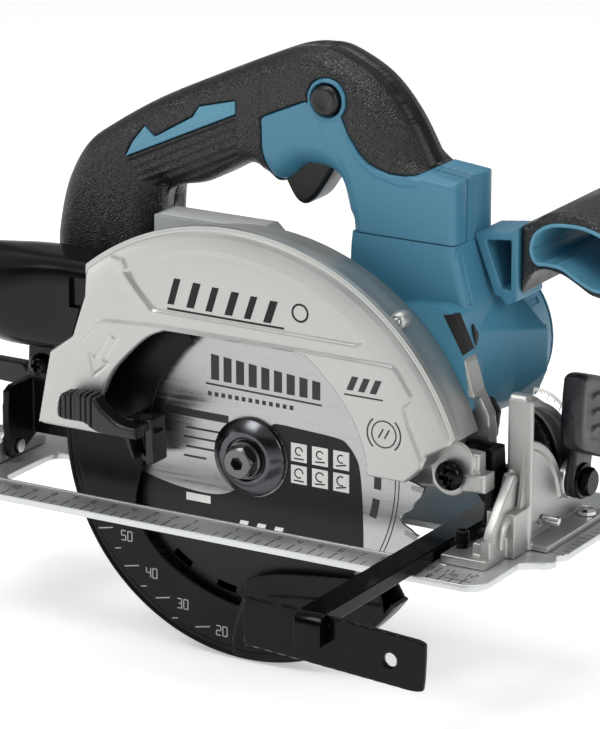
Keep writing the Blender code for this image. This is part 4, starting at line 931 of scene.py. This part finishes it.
place(br, TEAL, "head", "grip_bracket", angle=50)
dk = box("pocket_floor", 89.4, 100.6, 55.2, 55.95, 104, 123)
place(dk, TEAL, "head")

# ------------------------------------------------------------------ dust nozzle
def loft_x(name, secs, n=112):
    """A solid skinned over superellipse sections: (x, y, z, half y, half z, power)."""
    vs, fs = [], []
    for (x_, cy_, cz_, hy, hz, pw) in secs:
        for k in range(n):
            t = 2 * math.pi * k / n
            c_, s_ = math.cos(t), math.sin(t)
            q = (abs(c_) ** pw + abs(s_) ** pw) ** (-1 / pw)
            vs.append((x_, cy_ + hy * q * c_, cz_ + hz * q * s_))
    for a_ in range(len(secs) - 1):
        for k in range(n):
            fs.append((a_ * n + k, a_ * n + (k + 1) % n, (a_ + 1) * n + (k + 1) % n, (a_ + 1) * n + k))
    fs.append(tuple(range(n))[::-1])
    fs.append(tuple((len(secs) - 1) * n + k for k in range(n)))
    o = mesh_ob(name, vs, fs)
    bm = bmesh.new()
    bm.from_mesh(o.data)
    bmesh.ops.recalc_face_normals(bm, faces=bm.faces)
    bm.to_mesh(o.data)
    bm.free()
    return o


secs = [(-186, -3, 81.5, 18.6, 18.6, 2), (-185.3, -3, 81.5, 19.2, 19.2, 2), (-184, -3, 81.5, 19.5, 19.5, 2), (-180, -3, 81.5, 19.6, 19.6, 2), (-178.6, -3, 81.5, 19.1, 19.1, 2), (-170, -3, 81.5, 18.9, 18.9, 2)]
for k in range(1, 41):
    x_ = -170 + 100 * k / 40
    t_ = min(max((x_ + 128) / 48, 0), 1)
    t_ = t_ * t_ * (3 - 2 * t_)
    r_ = float(np.interp(x_, [-170, -156, -142, -130, -120, -110, -70], [18.9, 19.2, 19.7, 20.3, 20.8, 21.1, 21.2]))
    secs.append((x_, -3 + 0.7 * t_, 81.5 + 1.0 * t_, r_ * (1 - t_) + 17.0 * t_, r_ * (1 - t_) + 20.2 * t_, 2 + 3.2 * t_))
nz = loft_x("nozzle", secs)
cut(nz, turned("nozzle_bore", 'x', (-3.0, 81.5), [(0, -190), (16.6, -190), (16.6, -150), (14.5, -122), (0, -122)], 96))
cut(nz, prism("seat", 'y', [(-70.3, 140), (-70.3, 90), (-76.3, 71.9), (-87.8, 63.3), (-94.3, 31), (-60, 20), (-60, 140)], -26, 24), solver='MANIFOLD')
cut(nz, box("nt", -77.5, -66, -24, -17.0, 84, 97), solver='MANIFOLD')
tabn = prism("tabn", 'y', smooth([(-107, 46.5, 1), (-94.5, 46.5, 1), (-90, 62), (-92, 66, 1), (-106, 66, 1)], 3), -7.6, -2.9, 0.8)
merge(nz, tabn)
place(nz, GLOSS_P, "head", "dust_nozzle", angle=32)

# ------------------------------------------------------------------ base
outline = (arc((-142, -30.4), 8, 180, 270, 14) + arc((119, -29.4), 9, 270, 360, 16) + smooth([(128, -5, 1), (131, -2), (134, 0.2), (137.6, 1.6), (139.4, 4.4), (139.2, 7.6), (137.4, 10.6), (138.2, 13.4), (140, 15.5, 1)], 4)
           + arc((132, 84), 8, 0, 90, 14) + arc((-142, 84), 8, 90, 180, 14))
window = arc((-107, -13.7), 6, 180, 270, 10) + arc((89, -13.7), 6, 270, 360, 10) + arc((89, 16), 6, 0, 90, 10) + arc((-107, 16), 6, 90, 180, 10)
bp = prism("sole", 'z', outline, 0, 3, 0.45, holes=[window], res=2)
r1 = box("r1", -140, 80, 82, 86, 2.5, 7, 0.9)
r2 = box("r2", -146, -142, 34, 86, 2.5, 6, 0.9)
merge(bp, r1, r2)
place(bp, ZINC, "base", "base_plate", angle=30)
lip = prism("sole_bead", 'z', [(-138, -21.6), (104, -21.6), (104, -20.4), (-138, -20.4)], 2.6, 3.35, 0.25)
place(lip, ZINC_E, "base")
g = Ink(lambda u_, v_, h: (u_, v_, 3 + h), 0.045)
for k in range(-145, 122):
    x_ = k - 1.3 + 0.0
    if k % 10 == 0:
        if k == 0:
            continue
        g.line((x_, -38.0), (x_, -30.6), 0.6)
        if abs(k) < 142:
            g.number(abs(k) // 10, (x_ + (0.0), -27.0), 3.6, 0.42)
    elif k % 5 == 0:
        g.line((x_, -38.0), (x_, -33.0), 0.5)
for k in range(0, 16):
    y_ = 14 + 4.4 * k
    g.line((139.4, y_), (139.4 - (6 if k % 5 == 0 else 3.4), y_), 0.4)
g.line((110, -34), (122, -34), 0.5)
g.line((104, -31), (104, -24), 0.5)
g.number(0, (104, -35.4), 3.0, 0.4)
g.number(45, (112, -30), 3.0, 0.4)
place(g.done("sole_scale"), INK_S, "base")

# ------------------------------------------------------------------ bevel bracket
bk = from_cad("bevel_bracket", "bracket_body", 0.55, 2)
place(bk, CAST, "base", "bevel_bracket", angle=50)
disc = turned("disc", 'x', BEV, [(8, 121.6), (8, 123.2), (36.6, 123.2), (37.6, 124.3), (40.2, 124.3), (40.8, 123.6), (41, 121.6)], 60, 12, 78)
ring = turned("ring", 'x', BEV, [(54.2, 121.6), (54.6, 123.4), (55.6, 123.8), (56.8, 123.6), (57.2, 121.6)], 60, 9, 76)
rib3 = prism("rib3", 'x', [(-16.2, 3.3), (-16.2, 14), (-13.6, 14.4), (-12, 18), (-4, 27.0), (4.5, 35.4), (7.4, 35.6), (9.8, 33), (10.8, 22), (10.8, 3.3)], 116.4, 120.9, 0.8)
arcr = turned("arcr", 'x', (1.5, 11.0), [(8.2, 120.4), (8.2, 122.4), (8.7, 122.9), (10.6, 122.9), (11.2, 122.3), (11.2, 120.4)], 40, -38, 190)
merge(disc, ring, rib3, arcr)
place(disc, CAST, "base", angle=40)
hl = turned("bracket_socket", 'x', (3.6, 11.6), [(0, 121.4), (0, 121.7), (2.7, 121.7), (2.7, 121.4)], 32)
place(hl, HOLE, "base")
sl_ = prism("slot_back", 'x', arc(BEV, 53.8, 9, 74, 24) + arc(BEV, 41.2, 74, 9, 24), 115.0, 116.4, holes=[arc(BEV, 50.7, 10, 73, 24) + arc(BEV, 43.3, 73, 10, 24)])
place(sl_, OXIDE, "base")
tq_ = prism("tilt_quadrant", 'x', arc(BEV, 53.0, 12, 57, 24) + arc(BEV, 41.0, 57, 12, 24), 112.8, 114.0, 0.3)
place(tq_, OXIDE, "tilt")
g = Ink(lambda u_, v_, h: (122.0 + h, u_, v_), 0.08)
for k in range(0, 51):
    a_ = 10 + k * 1.3
    t = math.radians(a_)
    r0 = 58.6 if k % 10 == 0 else (59.6 if k % 5 == 0 else 60.6)
    g.line((3 + r0 * math.cos(t), 10 + r0 * math.sin(t)), (3 + 62.2 * math.cos(t), 10 + 62.2 * math.sin(t)), 0.35)
place(g.done("bevel_scale"), INK_W, "base")
sp = turned("stop_pin", 'x', (26, 12), [(0, 115), (2.0, 115), (2.0, 130.2), (1.6, 130.8), (0.9, 131), (0, 131)], 40)
place(sp, BRIGHT, "base", "bevel_stop_pin")
fs = turned("clamp_set_screw", 'z', (104, -8), [(0, 12.9), (1.2, 12.9), (1.3, 13.9), (2.4, 14.0)] + [(2.4 + 0.55 * (i % 2), 13.7 - 0.42 * i) for i in range(13)] + [(2.1, 7.6), (2.1, 3.6), (0, 3.6)], 40)
place(fs, OXIDE, "fence_screw", "fence_clamp_screw", angle=20)

# ------------------------------------------------------------------ clamp lever
pad_o = smooth([(31.5, 44), (30.6, 60), (32.5, 72, 1), (39, 72.6), (60, 65.5), (72, 61), (75, 55), (75, 36), (70, 30), (58, 31.5), (45, 36.5)], 6)
pds = poly_sdf(pad_o)
inner = poly_sdf(smooth([(37, 48), (36.6, 64), (44, 66.5), (60, 60.8), (69, 56), (69.5, 40), (60, 38), (46, 43)], 5))


def lever_face(y, z, d):
    x = 137.2 - rnd(d, 2.8) - 0.7 * fade(inner(y, z), 2.0)
    for k in range(3):
        gx = np.maximum(np.abs(z - (47.4 + 7 * k) - (y - 50) * -0.1) - 1.0, np.abs(y - 52) - 9)
        x = x + 1.0 * fade(gx, 1.2)
    return x


cl = field("clamp_paddle", pds, lambda y, z, d: 127.8 + rnd(d, 2.0), lever_face, (28, 78, 28, 75), 0.6, axis='x')
nk = prism("neck", 'x', arc(CLAMP, 7.6, 190, 350, 20) + [(59, 42), (43, 44)], 125.6, 129.8, 0.8)
cut(nk, turned("nb", 'x', CLAMP, [(0, 120), (3.8, 120), (3.8, 140), (0, 140)], 40))
merge(cl, nk)
place(cl, BLACK_V, "clamp_lever", "bevel_clamp_lever", angle=50)
wsh = turned("clamp_washer", 'x', CLAMP, [(3.8, 122.4), (7.9, 122.4), (8.2, 122.7), (8.2, 124.9), (7.9, 125.2), (3.8, 125.2)], 64)
place(wsh, ZINC_E, "tilt", "bevel_clamp_washer", angle=30)
hb_ = prism("clamp_hex", 'x', hexagon(CLAMP, 10.6, 8), 130.6, 135)
boolean(hb_, 'INTERSECT', turned("chm", 'x', CLAMP, [(0, 128), (8, 128), (6.4, 133.6), (5.0, 134.9), (0, 134.9)], 64), solver='MANIFOLD')
hf = turned("clamp_flange2", 'x', CLAMP, [(3.4, 106.6), (3.4, 130.1), (7.3, 130.1), (7.7, 130.4), (7.3, 131.1), (5.6, 131.5), (0, 131.5), (0, 106.6)], 64)
merge(hb_, hf)
place(hb_, GLOSS, "tilt", "bevel_clamp_bolt", angle=25)

# ------------------------------------------------------------------ rip fence
fb_ = prism("fence_rail", 'y', [(87.4, 3.6), (98.6, 3.6), (99, 4.0), (99, 9.0), (98.6, 9.4), (87.4, 9.4), (87, 9.0), (87, 4.0)], -110, 46, 0.3)
bend = arc((-108.9, 4.3), 5.1, 92, 180, 10) + [(-114, -3.5), (-108.2, -3.5), (-108.2, 3.6), (-104, 3.6), (-104, 9.4)]
bd = prism("bend", 'x', bend, 87, 99, 0.5)
place(fb_, GLOSS, "fence", "fence_bar", angle=30)
place(bd, GLOSS, "fence", angle=30)
fp_s = poly_sdf(smooth([(61, -9.6), (62.4, -11.1, 1), (135.6, -15.9, 1), (139.6, -15.4), (141.2, -13), (142, 2.4), (141, 4.6), (138.6, 5.4, 1), (104, 7.6, 1), (99.4, 7.6, 1), (99.4, 3.2, 1), (86.6, 3.2, 1), (86.6, 8.4, 1), (62.5, 8.9, 1), (61, 8.0)], 4))
fp_h = circ(126.5, -5, 2.9)
fpl = field("fence_guide", lambda x, z: np.maximum(fp_s(x, z), -fp_h(x, z)), lambda x, z, d: -107.9 + rnd(d, 0.7), lambda x, z, d: -105.2 - rnd(d, 0.7), (60, 143, -17, 10), 0.38)
place(fpl, GLOSS, "fence", "fence_plate", angle=40)

# ------------------------------------------------------------------ lower guard
GR = 88.7
near_pl = (arc(ARBOR, GR - 0.5, -40, -232, 150)
           + smooth([(-30, 80, 1), (-25.6, 73.6), (-33.5, 65.0), (-40.8, 54.2), (-44.4, 46), (-47.5, 34), (-51, 15), (-54.5, -3), (-50, -14.6), (-39, -25.7), (-22, -34.5), (-6, -39), (-2.6, -37.5), (-1.6, -30),
                     (3, -25.5), (17, -21.5), (45, -18.2), (60, -17), (73.5, -16.4, 1), (74, -24, 1)], 5)[:-5])
gp = poly_sdf(near_pl)
step_ = poly_sdf(smooth([(-6, -60), (-4, -46), (0, -38), (8, -33.5), (18, -31), (45, -28), (66, -26), (80, -24), (80, -70), (0, -75)], 5))


def guard_face(x, z, d):
    y = -5.6 + rnd(d, 0.5)
    y = y - 0.7 * fade(step_(x, z), 1.6)
    r_ = np.hypot(x, z - 26)
    y = y + 0.4 * fade(np.abs(r_ - (GR - 4.2)) - 0.3, 0.7)
    return y


gd = field("guard_near", gp, guard_face, -4.9, (-90, 76, -64, 98), FINE)
gr = turned("guard_rim", 'y', ARBOR, [(GR - 1.7, -5.9), (GR - 1.0, -6.3), (GR - 0.3, -6.2), (GR, -5.6), (GR, 5.6), (GR - 0.3, 6.2), (GR - 1.0, 6.4), (GR - 1.7, 6.2)], 190, -231, -36)
back_pl = (arc(ARBOR, GR - 0.6, -36.5, -180.5, 90) + [(-60, 40), (-30, 44)] + arc(ARBOR, 27, 125, 20, 30) + [(44, 6), (60, -8)])
gb = prism("guard_back", 'y', back_pl, 4.9, 6.3, 0.2, holes=[arc(ARBOR, 20.1, 0, 354, 59)])
merge(gd, gr, gb)
place(gd, OXIDE, "guard", "lower_guard", angle=35)
g = Ink(lambda u_, v_, h: (u_, -5.62 - h, v_), 0.05)
GMARKS = [(50, -59.0, -18.1, -69.6, -16.4), (40, -46.6, -32.6, -56.7, -31.3), (30, -31.2, -43.7, -41.2, -42.9), (20, -11.8, -52.3, -21.3, -52.3), (10, 7.9, -53.9, -3.0, -54.6)]
for val, cx_, cz_, lx_, lz_ in GMARKS:
    g.number(val, (cx_, cz_), 4.2, 0.5, 0)
    g.line((lx_ - 3.6, lz_ - 0.6), (lx_ + 3.6, lz_ + 0.9), 0.5)
    if val > 20:
        g.line((lx_ + 4.6, lz_ - 8.2), (lx_ + 7.6, lz_ - 7.6), 0.45)
place(g.done("guard_scale"), CAST_D, "guard")

gl = bpy.data.objects.new("guard_thumb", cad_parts["guard_lever"].data.copy())
bpy.context.scene.collection.objects.link(gl)
cut(gl, *[box("gv", -75.2 + 2.5 * k, -74.2 + 2.5 * k, -33, -30.0, 36, 53) for k in range(7)], *[box("gt", -75.2 + 2.5 * k, -74.2 + 2.5 * k, -33, -20, 49.7, 53) for k in range(7)])
cut(gl, prism("lower_loop", 'y', smooth([(-50.0, 31.0, 1), (-41.4, 31.8, 1), (-42.6, 26), (-45.0, 21.6), (-48, 24)], 3), -22, -8.2, 0), solver='MANIFOLD')
cut(gl, prism("upper_loop", 'x', [(-15.8, 36.9), (-8.4, 36.9), (-8.4, 33.6), (-15.8, 33.6)], -49.6, -36, 0), solver='MANIFOLD')
soften(gl, 0.4, 2)
place(gl, BLACK_P, "guard", "guard_lever", angle=60)

# ------------------------------------------------------------------ other castings, plates and levers
for node, nm, m_, ts in (("gear_case", "gear_casting", CAST, 3), ("gear_cover", "gear_lid", BLACK_P, 2)):
    o = bpy.data.objects.new(nm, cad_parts[node].data.copy())
    bpy.context.scene.collection.objects.link(o)
    if node == "gear_cover":
        cut(o, box("trim", 93.5, 130, 15, 45, 61.5, 99))
    soften(o, 0.7 * (1), ts)
    if node == "gear_cover":
        cut(o, turned("lock_room", 'y', (-8, 46), [(0, 17), (3.0, 17), (3.0, 21.2), (5.4, 21.2), (5.4, 33), (0, 33)], 48), solver='MANIFOLD')
    place(o, m_, "head", node, angle=50)
for node, nm, m_, body, vx, ts in (("rear_bracket", "rear_hinge", CAST, "base", 0.6, 2), ("tilt_front", "tilt_plate", OXIDE, "tilt", 0.55, 2),
                                   ("tilt_rear_guide", "depth_guide", OXIDE, "tilt", 0.6, 2), ("depth_lever", "depth_arm", BLACK_P, "depth_lever", 0.5, 3),
                                   ("top_cover", "guide_cover", GREY_P, "head", 0.6, 2)):
    o = from_cad(node, nm, vx * (1), ts)
    place(o, m_, body, node, angle=50)
tp_ = prism("guide_cover_top", 'z', [(-52, 12), (-5.5, 12), (-4, 13.5), (-4, 24), (-5.5, 25.6), (-52, 25.6)], 120.2, 120.75, 0.15)
place(tp_, GREY_T, "head")



# ------------------------------------------------------------------ studio
def light(name, loc, look, size, power, sy=None):
    d = bpy.data.lights.new(name, 'AREA')
    d.shape = 'RECTANGLE'
    d.size = size
    d.size_y = sy or size
    d.energy = power
    o = bpy.data.objects.new(name, d)
    o.location = loc
    o.rotation_euler = (Vector(look) - Vector(loc)).to_track_quat('-Z', 'Y').to_euler()
    bpy.context.scene.collection.objects.link(o)
    return o


floor_me = bpy.data.meshes.new("floor")
floor_me.from_pydata([(-6, -6, 0), (6, -6, 0), (6, 6, 0), (-6, 6, 0)], [], [(0, 1, 2, 3)])
floor = bpy.data.objects.new("floor", floor_me)
bpy.context.scene.collection.objects.link(floor)
FLOOR = bpy.data.materials.new("pale_floor")
FLOOR.use_nodes = True
fb = FLOOR.node_tree.nodes["Principled BSDF"]
fb.inputs["Base Color"].default_value = (0.93, 0.93, 0.93, 1)
fb.inputs["Roughness"].default_value = 0.75
fb.inputs["Emission Color"].default_value = (1, 1, 1, 1)
fb.inputs["Emission Strength"].default_value = 0.42
floor.data.materials.append(FLOOR)
floor.location = (0, 0, -0.0635)

world = bpy.data.worlds.new("studio")
world.use_nodes = True
world.node_tree.nodes["Background"].inputs[0].default_value = (1, 1, 1, 1)
wn = world.node_tree
wtc = wn.nodes.new("ShaderNodeTexCoord")
wsx = wn.nodes.new("ShaderNodeSeparateXYZ")
wn.links.new(wtc.outputs["Generated"], wsx.inputs["Vector"])
wr = wn.nodes.new("ShaderNodeValToRGB")
wr.color_ramp.elements[0].position = 0.0
wr.color_ramp.elements[0].color = (1, 1, 1, 1)
wr.color_ramp.elements[1].position = 1.0
wr.color_ramp.elements[1].color = (0.5, 0.5, 0.5, 1)
for ps, vl in ((0.1, 0.75), (0.28, 0.12), (0.5, 0.1), (0.62, 0.6)):
    el = wr.color_ramp.elements.new(ps)
    el.color = (vl, vl, vl, 1)
wn.links.new(wsx.outputs["Z"], wr.inputs["Fac"])
wn.links.new(wr.outputs["Color"], wn.nodes["Background"].inputs[0])
wn.nodes["Background"].inputs[1].default_value = 0.8
bpy.context.scene.world = world
light("key", (-0.5, -1.0, 1.5), (0, 0, 0.08), 0.7, 11)
light("front_right", (1.3, -0.5, 0.7), (0, 0, 0.08), 0.6, 5)
light("top", (0.1, 0.35, 1.5), (0, 0, 0.05), 0.9, 9)
light("low_left", (-1.2, -0.9, 0.25), (0, 0, 0.05), 0.6, 2.5)

yaw, pitch = math.radians(30.46), math.radians(17.06)
v = Vector((-math.sin(yaw) * math.cos(pitch), math.cos(yaw) * math.cos(pitch), -math.sin(pitch)))
r = Vector((math.cos(yaw), math.sin(yaw), 0))
u = r.cross(v)
cam_d = bpy.data.cameras.new("view")
cam_d.lens = 212.84
cam_d.sensor_width = 36
cam_d.clip_end = 30
cam = bpy.data.objects.new("view", cam_d)
cam.matrix_world = Matrix(((r.x, u.x, -v.x, 0.88760), (r.y, u.y, -v.y, -1.48809), (r.z, u.z, -v.z, 0.58971), (0, 0, 0, 1)))
bpy.context.scene.collection.objects.link(cam)
bpy.context.scene.camera = cam
bpy.context.scene.view_settings.view_transform = 'Standard'
